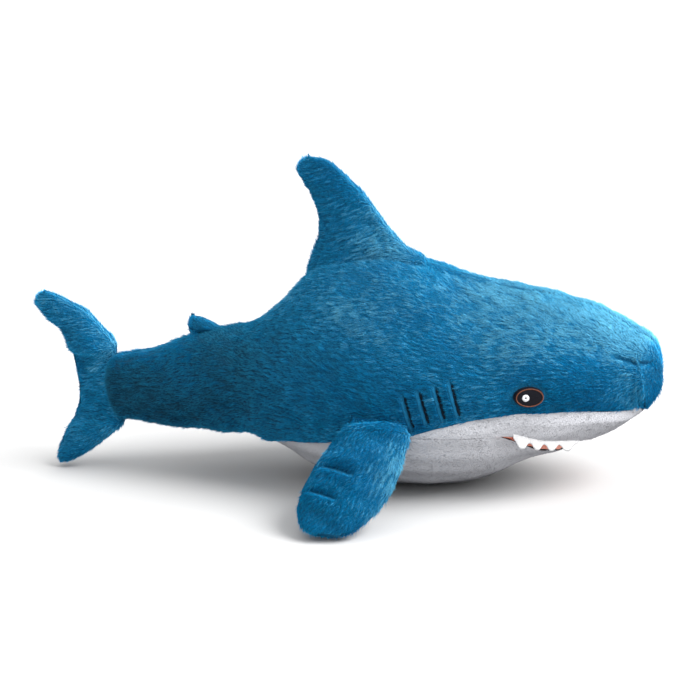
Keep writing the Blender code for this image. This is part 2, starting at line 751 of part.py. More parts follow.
def gills(side):
    word = "left" if side > 0 else "right"
    stand_off = GILL_THREAD + GAP
    for number, (x, z) in enumerate(GILL_TOPS, start=1):
        points = []
        for step in range(GILL_STEPS + 1):
            share = step / GILL_STEPS
            place, _ = flank_point(x + share * GILL_RUN[0], z + share * GILL_RUN[1], side, stand_off)
            points.append(place)
        thread(f"gill_thread_{word}_{number}", points, GILL_THREAD, DARK_THREAD)


def closing_seam():
    points = []
    for step in range(CLOSING_STEPS + 1):
        x = CLOSING_SEAM[0] + (CLOSING_SEAM[1] - CLOSING_SEAM[0]) * step / CLOSING_STEPS
        section = body_section(x)
        z = section.centre.z - section.up.length * math.sin(math.radians(seam_angle(x)))
        points.append(flank_point(x, z, 1, CLOSING_THREAD + GAP)[0])
    thread("closing_seam_thread", points, CLOSING_THREAD, WHITE_THREAD)


# --- The shark -----------------------------------------------------------------------------------

def build():
    clear_scene()
    collections["part"] = new_collection("plush_shark")
    collections["cutters"] = new_collection("cutters")

    bend_socket = body_socket("bend_socket", BEND_X, CLEARANCE)
    tail_socket = body_socket("tail_socket", TAIL_X, CLEARANCE)
    dorsal_socket = fin_socket("dorsal_socket", DORSAL_ROWS[0])
    second_socket = fin_socket("second_dorsal_socket", SECOND_ROWS[0])
    flipper_sockets = {side: flipper_socket(f"flipper_socket_{side}", side) for side in (-1, 1)}

    for side, word in ((-1, "right"), (1, "left")):
        front_back_panel(f"back_panel_{word}_front", side, (dorsal_socket, flipper_sockets[side]))
        boolean(rear_back_panel(f"back_panel_{word}_rear", side), second_socket)
        flipper(side)
        teeth_strip(f"teeth_strip_{word}", side)
        eye(side)
        gills(side)
    belly_panel(flipper_sockets.values())
    front_stuffing((bend_socket, dorsal_socket, *flipper_sockets.values()))
    boolean(rear_stuffing(), second_socket)
    jaw_panel()
    jaw_stuffing()
    lining("mouth_lining_upper", UPPER_LIP_ANGLE, GAP / 2, (0, 0, 0), 1.0)
    lower_offset = -(LINING + JAW_GAP + GAP / 2)
    lining("mouth_lining_lower", LOWER_LIP_ANGLE, lower_offset, jaw_pivot(), JAW_NARROWING)
    dorsal_fin()
    second_dorsal_fin()
    tail_fin(tail_socket)
    closing_seam()


build()
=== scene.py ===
"""The looks of the plush shark: cloth covers with real pile, felt mouth and teeth, stitched eyes.

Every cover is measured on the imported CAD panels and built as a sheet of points, in millimetres. Its
pile is real geometry: small bent tufts that grow from the sheet along the nap. +X points to the
nose, +Y to the shark's left and +Z up.
"""

import json
import math
from collections import namedtuple

import bpy
import numpy as np
from mathutils import Matrix, Vector
from mathutils.bvhtree import BVHTree


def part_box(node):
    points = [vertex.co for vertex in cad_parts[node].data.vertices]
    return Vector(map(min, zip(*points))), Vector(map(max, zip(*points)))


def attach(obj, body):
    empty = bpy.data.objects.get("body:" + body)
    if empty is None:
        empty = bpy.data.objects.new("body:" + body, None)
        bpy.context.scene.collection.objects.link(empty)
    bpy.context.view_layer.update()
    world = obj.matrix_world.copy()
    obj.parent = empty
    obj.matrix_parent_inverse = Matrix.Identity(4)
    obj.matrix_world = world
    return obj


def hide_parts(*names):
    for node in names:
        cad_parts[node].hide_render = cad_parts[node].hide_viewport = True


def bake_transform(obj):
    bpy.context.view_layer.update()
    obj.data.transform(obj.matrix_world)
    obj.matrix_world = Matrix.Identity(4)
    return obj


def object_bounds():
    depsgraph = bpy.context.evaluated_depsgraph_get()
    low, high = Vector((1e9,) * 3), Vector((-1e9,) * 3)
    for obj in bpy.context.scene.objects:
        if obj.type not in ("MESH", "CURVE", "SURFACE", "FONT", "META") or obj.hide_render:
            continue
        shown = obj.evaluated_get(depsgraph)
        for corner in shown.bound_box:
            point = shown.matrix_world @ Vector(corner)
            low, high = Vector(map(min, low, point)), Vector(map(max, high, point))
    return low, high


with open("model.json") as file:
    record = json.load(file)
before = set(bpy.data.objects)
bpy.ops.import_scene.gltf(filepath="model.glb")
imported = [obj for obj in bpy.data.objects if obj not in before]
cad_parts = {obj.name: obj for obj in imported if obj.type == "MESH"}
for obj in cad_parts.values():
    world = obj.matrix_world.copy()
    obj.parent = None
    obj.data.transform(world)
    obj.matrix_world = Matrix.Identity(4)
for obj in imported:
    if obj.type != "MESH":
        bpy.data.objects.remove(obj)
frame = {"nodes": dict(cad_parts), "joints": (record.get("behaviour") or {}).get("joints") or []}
cad_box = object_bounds()

MM = 0.001  # metres in a millimetre
SIDES = {"right": -1.0, "left": 1.0}
SKIN_DEPTH = 1.7  # the backing cloth lies this far inside the CAD outline, which the pile fills
FLOOR_GAP = 0.4  # the lowest pile stays this far above the floor
ROW_STEP = 1.0  # spacing of a sheet's points
FINE_STEP = 0.5  # and on the head, which holds the gills
BODY_COLUMNS = 90
FINE_COLUMNS = 180
WHITE_COLUMNS = 70
FIN_COLUMNS = 44
LINING_COLUMNS = 60
BELLY = -90.0  # angle of the bottom centre line, in degrees from the widest line
SPINE = 90.0

# Mouth: each lip's slope where it leaves the corner, in degrees, and its droop for each squared mm
UPPER_LIP = (-3.0, 0.0055)
LOWER_LIP = (-35.0, 0.0)
CHEEK = (0.0, 0.0)  # the line behind the corner, where the throat's cover meets the cheek's
JAW_NARROWING = 0.94
JAW_FROM_X = 30.0  # the throat cover starts here
CHEEK_FROM_X = 42.0
SNOUT_FROM = 142.0  # the snout closes as a dome from here to the nose

TRUNK_REAR_X = -76.0  # the back cover's trunk piece meets the tail stem's here
HEAD_FROM_X = 40.0
TAIL_BEND = ((-92.0, 0.0, 42.0), (-112.0, 0.0, 42.0))
DORSAL_BEND = ((0.0, 0.0, 105.0), (0.0, 0.0, 118.0))
SECOND_DORSAL_BEND = ((0.0, 0.0, 68.0), (0.0, 0.0, 74.0))
TAIL_SOCKET = (24.0, 62.0)  # between these heights the stem hides the tail fin's leading edge

# Cloth simulation of the fins' covers
SIM_SCALE = 0.01  # a millimetre is simulated as a centimetre, a size that cloth solvers handle well
SIM_FRAMES = 30
SLEEVE_ROWS = 26
SLEEVE_STEP = 10.0  # degrees between a sleeve's columns
HELD_ROWS = 3  # the sleeve is held at its root by these
SWELL_LIMIT = 1.6  # the sewn outline moves at most this far

# Creases: ends as (x, z) on the flank, or as shares of a flipper's length and half chord
NOSE_DART = ((132.0, 64.5), (146.5, 58.0))
FLIPPER_CREASES = (((0.34, -0.62), (0.44, 0.14)), ((0.58, -0.68), (0.68, 0.06)))


# --- Measuring the frame -------------------------------------------------------------------------

def placed(name, data):
    """A new object in the scene."""
    obj = bpy.data.objects.new(name, data)
    bpy.context.scene.collection.objects.link(obj)
    return obj


class Solid:
    """Some CAD nodes as one surface that rays are cast at."""

    def __init__(self, *names):
        points, faces, self.owner = [], [], []
        for name in names:
            mesh = frame["nodes"][name].data
            mesh.calc_loop_triangles()
            first = len(points)
            points.extend(vertex.co / MM for vertex in mesh.vertices)
            for triangle in mesh.loop_triangles:
                faces.append([first + corner for corner in triangle.vertices])
                self.owner.append(name)
        self.points = np.array(points)
        self.tree = BVHTree.FromPolygons(points, faces)

    def first(self, start, towards):
        """The first point that a ray meets and its node, or two Nones."""
        place, _, face, _ = self.tree.ray_cast(Vector(start), Vector(towards))
        if place is None:
            return None, None
        return np.array(place), self.owner[face]

    def farthest(self, start):
        return self.points[np.argmax(np.linalg.norm(self.points - start, axis=1))]


def smoothed(values, sigma):
    """Values with a Gaussian of sigma samples run over them. The ends are carried on in a line."""
    reach = int(3 * sigma) + 1
    kernel = np.exp(-0.5 * (np.arange(-reach, reach + 1) / sigma) ** 2)
    kernel /= kernel.sum()
    steps = np.arange(1, reach + 1)
    before = values[0] - (values[1] - values[0]) * steps[::-1]
    after = values[-1] + (values[-1] - values[-2]) * steps
    return np.convolve(np.concatenate([before, values, after]), kernel, mode="valid")


def joint_origin(name):
    joint = next(j for j in frame["joints"] if j["name"] == name)
    return np.array(joint["pos_m"]) / MM


def box_mm(node):
    low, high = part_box(node)
    return np.array(low) / MM, np.array(high) / MM


def middle_and_half(node):
    """The middle of a node's box and half its size."""
    low, high = box_mm(node)
    return (low + high) / 2, (high - low) / 2


HINGE = joint_origin("jaw_open")
NOSE_X = cad_box[1].x / MM
TAIL_ROOT_X = joint_origin("tail_swing")[0]
STEM_END_X = box_mm("back_panel_right_rear")[0][0]


class BodyForm:
    """The body's elliptical sections along x."""

    REACH = 120.0
    NO_SEAM = 84.0  # where no white cloth shows, the blue goes down nearly to the centre line
    PANELS = ("back_panel_right_front", "back_panel_left_front", "back_panel_right_rear",
              "back_panel_left_rear", "belly_panel", "jaw_panel")

    def __init__(self):
        self.skin = Solid(*self.PANELS)
        self.xs = np.arange(TAIL_ROOT_X, SNOUT_FROM + 1.0, 4.0)
        rows = np.array([self.fit(x) for x in self.xs])
        self.mids, self.ups, self.acrosses = (smoothed(column, 1.2) for column in rows.T)
        self.seam_xs = np.arange(-36.0, SNOUT_FROM - 1.0, 3.0)
        self.seams = smoothed(np.array([self.find_seam(x) for x in self.seam_xs]), 1.5)

    def fit(self, x, middle=50.0):
        """Mid height, half height and half width of the ellipse through the cloth at x."""
        hits = []
        for degrees in np.arange(3.0, 360.0, 6.0):
            way = np.array((0.0, math.cos(math.radians(degrees)), math.sin(math.radians(degrees))))
            place, _ = self.skin.first(np.array((x, 0.0, middle)) + way * self.REACH, -way)
            # the pressed bottom is left out, and so is a ray that slips in through a seam
            if place is not None and place[2] > 1.5 and (place[1:] - (0.0, middle)) @ way[1:] > 5.0:
                hits.append((place[1], place[2] - middle))
        y, z = np.array(hits).T
        keep = np.ones(len(y), bool)
        terms = np.stack([y**2, z**2, z], axis=1)
        for _ in range(6):  # each round drops the hits that fit worst, such as those on a seam
            a, b, c = np.linalg.lstsq(terms[keep], np.ones(keep.sum()), rcond=None)[0]
            misfit = abs(terms @ (a, b, c) - 1.0)
            keep = misfit <= max(0.02, 2.0 * np.median(misfit))
        centre = -c / (2.0 * b)
        size = 1.0 + b * centre**2
        return middle + centre, math.sqrt(size / b), math.sqrt(size / a)

    def find_seam(self, x):
        """Degrees below the widest line where the blue cloth ends at x."""
        mid = float(np.interp(x, self.xs, self.mids))
        for below in np.arange(-6.0, 90.0, 1.0):
            way = np.array((0.0, math.cos(math.radians(below)), -math.sin(math.radians(below))))
            _, owner = self.skin.first(np.array((x, 0.0, mid)) + way * self.REACH, -way)
            if owner in ("belly_panel", "jaw_panel"):
                return math.degrees(math.atan(math.tan(math.radians(below)) * self.flatness(x)))
        return self.NO_SEAM

    def flatness(self, x):
        """Turns the slope of a ray into that of the ellipse's own angle."""
        return float(np.interp(x, self.xs, self.acrosses) / np.interp(x, self.xs, self.ups))

    def section(self, x):
        """Mid height, half height and half width at each x, closed by domes at both ends."""
        nose = np.clip((x - SNOUT_FROM) / (NOSE_X - SNOUT_FROM), 0.0, 1.0)
        stem = np.clip((TAIL_ROOT_X - x) / (TAIL_ROOT_X - STEM_END_X), 0.0, 1.0)
        blunt = (1.0 - 0.33 * nose) * np.sqrt(1.0 - nose**3)
        keel = 1.0 - 0.32 * nose - 0.68 * nose**2  # the cheeks meet at a centre seam, not as a ball
        rear = (1.0 - stem**3) ** 0.4
        sizes = (np.interp(x, self.xs, values) for values in (self.mids, self.ups, self.acrosses))
        mid, up, across = sizes
        return mid, up * blunt * rear, across * keel * rear

    def seam(self, x):
        return np.interp(x, self.seam_xs, self.seams)

    def lip(self, x, line):
        """The ellipse angle where a lip's line, from the mouth's corner, crosses the section at x."""
        mid, up, _ = self.section(x)
        ahead = x - HINGE[0]
        z = HINGE[2] + ahead * math.tan(math.radians(line[0])) - line[1] * ahead**2
        return np.degrees(np.arcsin(np.clip((z - mid) / np.maximum(up, 0.1), -1.0, 1.0)))

    def points(self, x, degrees, side, width_share=1.0):
        """Points of the outline at x and an angle from the widest line, on one side."""
        mid, up, across = self.section(x)
        angle = np.radians(degrees)
        y = side * across * width_share * np.cos(angle)
        return np.stack([x + 0.0 * angle, y, mid + up * np.sin(angle)], axis=-1)


def even_xs(start, end, step=ROW_STEP):
    return np.linspace(start, end, int(abs(end - start) / step) + 2)


def dome_xs(start, end, steps=14):
    """Places along a dome, closer together towards its tip."""
    return start + (end - start) * np.sin(np.linspace(0.0, math.pi / 2, steps))[1:]


class FinForm:
    """A fin's slices from root to tip: along an axis, a chord and a thickness direction."""

    REACH = 150.0
    OFF_SEAM = 0.8  # the edges are measured this far beside the middle, clear of the seam's gap

    def __init__(self, nodes, axis, chord, thick, levels, centre=(0.0, 0.0, 0.0), socket=None):
        self.axis, self.chord, self.thick = (np.array(v, float) for v in (axis, chord, thick))
        self.centre = np.array(centre, float)
        solid = Solid(*nodes)
        rows = [self.measured(solid, level) for level in levels]
        self.levels, lead, trail, half = np.array([row for row in rows if row is not None]).T
        if socket is not None:
            solid_part = (self.levels < socket[0]) | (self.levels > socket[1])
            lead = np.interp(self.levels, self.levels[solid_part], lead[solid_part])
        self.lead, self.trail, self.half = (smoothed(v, 1.5) for v in (lead, trail, half))
        self.open_root = True
        self.close(-1, 1.0)

    def measured(self, solid, level):
        """A level with its leading edge, trailing edge and half thickness, or None past the fin."""
        start = self.centre + self.axis * level + self.thick * self.OFF_SEAM
        ends = [solid.first(start + self.chord * self.REACH * s, -self.chord * s)[0] for s in (1, -1)]
        if ends[0] is None or ends[1] is None:
            return None
        lead, trail = ((end - self.centre) @ self.chord for end in ends)
        middle = self.centre + self.axis * level + self.chord * (lead + trail) / 2
        side = solid.first(middle + self.thick * self.REACH, -self.thick)[0]
        return level, lead, trail, abs((side - self.centre) @ self.thick)

    def close(self, end, out):
        """Rounds the form off to a point beyond one end: -1 for its last level, 0 for its first."""
        middle = (self.lead[end] + self.trail[end]) / 2
        half_chord = (self.lead[end] - self.trail[end]) / 2
        shares = np.array((0.85, 0.55, 0.0))
        cap = np.stack([self.levels[end] + out * np.array((0.4, 0.8, 1.0)), middle + half_chord * shares,
                        middle - half_chord * shares, self.half[end] * shares])
        rows = np.stack([self.levels, self.lead, self.trail, self.half])
        parts = (rows, cap) if end else (cap[:, ::-1], rows)
        self.levels, self.lead, self.trail, self.half = np.concatenate(parts, axis=1)

    def rows(self, start, step=ROW_STEP):
        """Evenly spaced levels from a start, with every level of the rounded ends."""
        ends = [level for level in (*self.levels[:4], *self.levels[-4:]) if level >= start]
        return np.unique(np.concatenate([even_xs(start, self.levels[-1], step), ends]))

    def stuff(self, start):
        """Blows up a coarse cloth sleeve of this form and keeps how far each of its points moves."""
        self.coarse_levels = np.linspace(start, self.levels[-1], SLEEVE_ROWS)
        self.coarse_degrees = np.arange(0.0, 361.0, SLEEVE_STEP)
        level, degrees = np.meshgrid(self.coarse_levels, self.coarse_degrees, indexing="ij")
        rest = self.points(level, degrees)
        moved = settled_sleeve(rest[:, :-1]) - rest[:, :-1]
        moved = np.concatenate([moved, moved[:, :1]], axis=1)
        moved -= moved[HELD_ROWS:].mean(axis=(0, 1))
        size = np.linalg.norm(moved, axis=-1, keepdims=True)
        self.swell = moved * np.minimum(1.0, SWELL_LIMIT / np.maximum(size, 1e-6))

    def swelling(self, level, degrees):
        """The sleeve's movement at each level and angle."""
        row = np.interp(level, self.coarse_levels, np.arange(len(self.coarse_levels)))
        column = np.interp(degrees % 360.0, self.coarse_degrees, np.arange(len(self.coarse_degrees)))
        i = np.minimum(row.astype(int), len(self.coarse_levels) - 2)
        j = np.minimum(column.astype(int), len(self.coarse_degrees) - 2)
        return blended(self.swell, i, j, row - i, column - j, 2)

    def slice(self, level):
        return (np.interp(level, self.levels, v) for v in (self.lead, self.trail, self.half))

    def points(self, level, degrees, flare=0.0):
        """Points round the slice at a level: 0 degrees at the leading edge, 90 on the +thick side."""
        lead, trail, half = self.slice(level)
        angle = np.radians(degrees)
        chord = (lead + trail) / 2 + ((lead - trail) / 2 + flare) * np.cos(angle)
        thick = np.maximum(half + flare, 0.0) * np.sin(angle)
        return (self.centre + level[..., None] * self.axis + chord[..., None] * self.chord
                + thick[..., None] * self.thick)


def settled_sleeve(rest):
    """A sleeve's points once its cloth, cut a little large, is blown up and settles. Its root is held."""
    rows, columns = rest.shape[:2]
    corner = np.arange(rows * columns).reshape(rows, columns)
    beside = np.roll(corner, -1, axis=1)
    faces = np.stack([corner[:-1], corner[1:], beside[1:], beside[:-1]], axis=-1).reshape(-1, 4)
    mesh = bpy.data.meshes.new("sleeve")
    mesh.from_pydata((rest.reshape(-1, 3) * SIM_SCALE).tolist(), [], faces.tolist())
    sleeve = placed("sleeve", mesh)
    held = sleeve.vertex_groups.new(name="root")
    held.add(corner[:HELD_ROWS].ravel().tolist(), 1.0, "REPLACE")
    modifier = sleeve.modifiers.new("cloth", "CLOTH")
    cloth = modifier.settings
    cloth.quality = 6
    cloth.mass = 0.3
    cloth.air_damping = 5.0
    cloth.tension_stiffness = cloth.compression_stiffness = 25.0
    cloth.bending_stiffness = 0.4
    cloth.use_pressure = True
    cloth.uniform_pressure_force = 6.0
    cloth.shrink_min = -0.08
    cloth.vertex_group_mass = held.name
    cloth.effector_weights.gravity = 0.0
    modifier.point_cache.frame_end = SIM_FRAMES
    for number in range(1, SIM_FRAMES + 1):
        bpy.context.scene.frame_set(number)
    graph = bpy.context.evaluated_depsgraph_get()
    settled = np.empty(rest.size)
    sleeve.evaluated_get(graph).data.vertices.foreach_get("co", settled)
    bpy.data.objects.remove(sleeve)
    bpy.context.scene.frame_set(1)
    return settled.reshape(rest.shape) / SIM_SCALE


# --- Noise and sheets ----------------------------------------------------------------------------

def waves(points, size, seed):
    """Smooth noise of about -1 to 1 at each point, whose bumps are about size millimetres across."""
    rng = np.random.default_rng(seed)
    total = np.zeros(points.shape[:-1])
    count = 14
    for _ in range(count):
        way = rng.normal(size=3)
        way *= rng.uniform(0.6, 1.4) * math.pi / size / np.linalg.norm(way)
        total += np.sin(points @ way + rng.uniform(0.0, 2 * math.pi))
    return total * math.sqrt(2.0 / count) * 0.7


def unit(vectors):
    return vectors / np.maximum(np.linalg.norm(vectors, axis=-1, keepdims=True), 1e-9)


class Sheet:
    """A grid of points with its outward normals, the way its nap lies and how light its pile is, which is
    painted light and shade.
    """

    def __init__(self, points, inside):
        self.points = points
        self.tone = np.zeros(points.shape[:2])
        self.inside = np.array(inside, float)
        self.measure()

    def measure(self):
        along = np.gradient(self.points, axis=0)
        across = np.gradient(self.points, axis=1)
        normals = np.cross(along, across)
        size = np.linalg.norm(normals, axis=-1, keepdims=True)
        spread = unit(self.points - self.inside)
        self.turned = np.sum(normals * spread) < 0.0
        normals = np.where(size > 1e-6, normals / np.maximum(size, 1e-9), 0.0)
        normals = -normals if self.turned else normals
        self.normals = unit(np.where(size > 1e-6, normals, spread))

    def push(self, distance):
        """Moves each point out along its normal."""
        self.points = self.points + self.normals * distance[..., None]
        self.measure()

    def from_edges(self):
        """The distance of each point from the first and the last column, along its row."""
        steps = np.linalg.norm(np.diff(self.points, axis=1), axis=-1)
        run = np.concatenate([np.zeros((len(steps), 1)), np.cumsum(steps, axis=1)], axis=1)
        return run, run[:, -1:] - run

    def flat(self):
        """Each point's place on the cloth, squeezed along the nap so that round noise makes streaks."""
        place = self.points
        lengthwise = np.sum((place - place.mean(axis=(0, 1))) * self.nap, axis=-1, keepdims=True)
        return place - self.nap * lengthwise * (1.0 - 1.0 / STREAK)

    def comb(self, way):
        """The nap's direction: a wanted way at each point, laid flat on the sheet."""
        flat = way - self.normals * np.sum(way * self.normals, axis=-1, keepdims=True)
        self.nap = unit(flat)


def keep_off_floor(points):
    """Points with their lowest parts pressed flat, as the belly's are by its own weight."""
    soft = 0.8
    points[..., 2] = FLOOR_GAP + soft * np.logaddexp(0.0, (points[..., 2] - FLOOR_GAP) / soft)
    return points


# --- Pile ----------------------------------------------------------------------------------------

# How a cloth's tufts grow: density a square millimetre, sizes in millimetres and angles in degrees.
# Clumping is how strongly the tufts in a streak share their lie and shade.
Pile = namedtuple("Pile", "density length width rise swirl clumping seed")

BLUE_PILE = Pile(density=6.2, length=2.8, width=0.24, rise=20.0, swirl=16.0, clumping=1.0, seed=11)
WHITE_PILE = Pile(density=5.5, length=1.8, width=0.27, rise=12.0, swirl=7.0, clumping=0.15, seed=12)
TUFT_FACES = ((0, 1, 3), (1, 2, 3), (2, 0, 3), (0, 2, 1))
TUFT_HEIGHTS = (0.0, 0.0, 0.0, 1.0)
STREAK = 5.0  # the pile clumps in streaks this many times longer than they are wide
STREAK_WIDTH = 1.0
CLUMP_SIZE = 5.0  # the tufts turn a little from clump to clump
DRIFT_SIZE = 22.0  # and over the broad patches that stroking leaves
EVEN_STEPS = (0.7548776662, 0.5698402910)  # multiples of these, less their whole part, fill a square
BARE_SHARE = 0.05  # nothing grows where the pile would be shorter than this share of its length
SUNK_FOOT = 0.4  # each tuft starts this far below its cloth
FLATTENED = 0.7
FLOOR_LEVEL = 0.1

# What turns, raises, lengthens and lightens each tuft: its clump, its drift, its streak and chance
CLUMP_TURN, DRIFT_TURN, CHANCE_TURN = 0.7, 0.8, 0.45  # in swirls
STREAK_RISE, CHANCE_RISE = 6.0, 5.0  # in degrees
STREAK_LENGTH = 0.2
LENGTH_RANGE, WIDTH_RANGE = (0.65, 1.2), (0.75, 1.25)
MIDDLE_SHADE = 0.54
CLUMP_SHADE, DRIFT_SHADE, STREAK_SHADE, CHANCE_SHADE = 0.05, 0.13, 0.12, 0.1


def blended(values, rows, columns, a, b, dimensions=1):
    """Values of the grid's cells at fractions a and b across each."""
    shape = a.shape[:dimensions] + (1,) * (values.ndim - 2)
    a, b = a.reshape(shape), b.reshape(shape)
    near = values[rows, columns] * (1 - b) + values[rows, columns + 1] * b
    far = values[rows + 1, columns] * (1 - b) + values[rows + 1, columns + 1] * b
    return near * (1 - a) + far * a


def tuft_cells(sheet, pile, length_share, rng):
    """The grid cell of each tuft, spread evenly over the cloth, and where in the cell it stands."""
    p = sheet.points
    diagonals = np.cross(p[1:, 1:] - p[:-1, :-1], p[1:, :-1] - p[:-1, 1:])
    shares = (length_share[1:, 1:] + length_share[:-1, :-1]) / 2
    area = np.linalg.norm(diagonals, axis=-1) / 2 * (shares > BARE_SHARE)
    total = np.cumsum(area.ravel()) * pile.density
    count = int(total[-1])
    cell = np.searchsorted(total, (np.arange(count) + rng.random(count)) * total[-1] / count)
    rows, columns = np.divmod(np.minimum(cell, len(total) - 1), area.shape[1])
    a, b = ((np.arange(count) * step) % 1.0 for step in EVEN_STEPS)
    return rows, columns, a, b


def grow(sheet, pile, length_share):
    """The tufts' points, 4 to a tuft, and each tuft's shade."""
    rng = np.random.default_rng(pile.seed)
    cells = tuft_cells(sheet, pile, length_share, rng)
    root, size, tone = (blended(values, *cells) for values in (sheet.points, length_share, sheet.tone))
    out, nap = (unit(blended(ways, *cells)) for ways in (sheet.normals, sheet.nap))
    count = len(root)

    clump = waves(root, CLUMP_SIZE, pile.seed + 1)
    drift = waves(root, DRIFT_SIZE, pile.seed + 2)
    streak = waves(blended(sheet.flat(), *cells), STREAK_WIDTH, pile.seed + 3) * pile.clumping
    turn = CLUMP_TURN * clump + DRIFT_TURN * drift + CHANCE_TURN * rng.normal(size=count)
    yaw = np.radians(pile.swirl * turn)[:, None]
    lie = nap * np.cos(yaw) + np.cross(out, nap) * np.sin(yaw)
    rise = pile.rise + STREAK_RISE * streak + CHANCE_RISE * rng.normal(size=count)
    rise = np.radians(rise)[:, None]
    length = pile.length * size * rng.uniform(*LENGTH_RANGE, count) * (1 + STREAK_LENGTH * streak)
    width = pile.width * rng.uniform(*WIDTH_RANGE, count)
    foot = root - out * SUNK_FOOT
    tip = foot + (lie * np.cos(rise) + out * np.sin(rise)) * length[:, None]

    # the sheet's painted light and shade, with tone that differs from drift to drift and clump to clump
    tone = tone + (DRIFT_SHADE * drift + CLUMP_SHADE * clump) * pile.clumping
    shade = MIDDLE_SHADE + tone + STREAK_SHADE * streak + CHANCE_SHADE * rng.normal(size=count)
    return tuft_points(foot, tip, lie, out, width[:, None]), np.clip(shade, 0.0, 1.0)


def tuft_points(foot, tip, lie, out, width):
    """Three corners round each tuft's flattened foot, and its tip. The floor presses them flat."""
    side = np.cross(out, lie)
    points = []
    for degrees in (90.0, 210.0, 330.0):
        angle = math.radians(degrees)
        points.append(foot + width * (side * math.cos(angle) + out * FLATTENED * math.sin(angle)))
    points = np.stack([*points, tip], axis=1)
    points[..., 2] = np.maximum(points[..., 2], FLOOR_LEVEL)
    return points


# --- Materials -----------------------------------------------------------------------------------

WHITE = (1.0, 1.0, 1.0)
MIX_FACTOR, MIX_FIRST, MIX_SECOND, MIX_RESULT = 0, 6, 7, 2  # a Mix node's sockets for colours


class Tree:
    """The node tree of a material or a world, with short ways to add and link nodes."""

    def __init__(self, owner):
        owner.use_nodes = True
        self.tree = owner.node_tree

    def add(self, kind, **settings):
        node = self.tree.nodes.new("ShaderNode" + kind)
        for key, value in settings.items():
            setattr(node, key, value)
        return node

    def link(self, source, target):
        self.tree.links.new(source, target)


class Nodes(Tree):
    """A new material and its nodes."""

    def __init__(self, name, roughness, sheen=0.0, sheen_tint=WHITE, specular=0.2):
        self.material = bpy.data.materials.new(name)
        super().__init__(self.material)
        self.shader = self.tree.nodes["Principled BSDF"]
        settings = {"Roughness": roughness, "Specular IOR Level": specular, "Sheen Weight": sheen,
                    "Sheen Roughness": 0.4, "Sheen Tint": (*sheen_tint, 1.0)}
        for key, value in settings.items():
            self.shader.inputs[key].default_value = value

    def attribute(self, name):
        return self.add("Attribute", attribute_name=name).outputs["Fac"]

    def noise(self, size, detail=2.0):
        """Noise whose features are about size millimetres across."""
        place = self.add("TexCoord").outputs["Object"]
        node = self.add("TexNoise")
        node.inputs["Scale"].default_value = 1.0 / (size * MM)
        node.inputs["Detail"].default_value = detail
        self.link(place, node.inputs["Vector"])
        return node.outputs["Fac"]

    def ramp(self, factor, *stops):
        node = self.add("ValToRGB")
        for i, (place, colour) in enumerate(stops):
            stop = node.color_ramp.elements[i] if i < 2 else node.color_ramp.elements.new(place)
            stop.position = place
            stop.color = (*colour, 1.0)
        self.link(factor, node.inputs["Fac"])
        return node.outputs["Color"]

    def multiplied(self, factor, first, second):
        """One colour darkened by another, by a factor."""
        node = self.add("Mix", data_type="RGBA", blend_type="MULTIPLY")
        node.inputs[MIX_FACTOR].default_value = factor
        self.link(first, node.inputs[MIX_FIRST])
        self.link(second, node.inputs[MIX_SECOND])
        return node.outputs[MIX_RESULT]

    def colour(self, socket):
        self.link(socket, self.shader.inputs["Base Color"])

    def bump(self, height, distance):
        node = self.add("Bump")
        node.inputs["Distance"].default_value = distance * MM
        self.link(height, node.inputs["Height"])
        self.link(node.outputs["Normal"], self.shader.inputs["Normal"])


def pile_material(name, root, body, tip, shades, patch_dark, sheen, sheen_tint):
    """Pile that lightens from root to tip, its darker roots being painted shade between the tufts, differs
    from tuft to tuft and has faint large patches.
    """
    nodes = Nodes(name, 0.9, sheen, sheen_tint, specular=0.05)
    # painted shade: the tufts are darker towards their roots
    strand = nodes.ramp(nodes.attribute("pile_height"), (0.0, root), (0.55, body), (1.0, tip))
    # the darkest and lightest tuft shades carry the sheet's painted shade and painted highlight
    by_tuft = nodes.ramp(nodes.attribute("pile_shade"), *zip((0.0, 0.7, 1.0), shades))
    tufted = nodes.multiplied(1.0, strand, by_tuft)
    patches = nodes.ramp(nodes.noise(DRIFT_SIZE), (0.3, patch_dark), (0.7, WHITE))
    nodes.colour(nodes.multiplied(0.8, tufted, patches))
    return nodes.material


def backing_material(name, dark, light, painted_shade):
    """The knitted backing between the tufts: fine loops, darkened by painted shade where its pile is painted
    darker.
    """
    nodes = Nodes(name, 1.0)
    loops = nodes.noise(0.7, 3.0)
    painted_shading = nodes.ramp(nodes.attribute("pile_shade"), (0.0, painted_shade), (0.5, WHITE))
    nodes.colour(nodes.multiplied(1.0, nodes.ramp(loops, (0.3, dark), (0.7, light)), painted_shading))
    nodes.bump(loops, 0.4)
    return nodes.material


def felt_material(name, dark, light):
    """Pressed felt: fine matted fibres with faint clouds."""
    nodes = Nodes(name, 0.95, 0.3)
    fibres = nodes.noise(0.5, 6.0)
    clouds = nodes.noise(4.0)
    base = nodes.ramp(fibres, (0.25, dark), (0.75, light))
    shade = nodes.ramp(clouds, (0.3, (0.88, 0.88, 0.88)), (0.7, WHITE))
    nodes.colour(nodes.multiplied(1.0, base, shade))
    nodes.bump(fibres, 0.25)
    return nodes.material


def thread_material(name, dark, light, roughness=0.45):
    """Glossy embroidery thread with fine filaments."""
    nodes = Nodes(name, roughness, specular=0.15)
    filaments = nodes.noise(0.35, 4.0)
    nodes.colour(nodes.ramp(filaments, (0.3, dark), (0.7, light)))
    nodes.bump(filaments, 0.12)
    return nodes.material


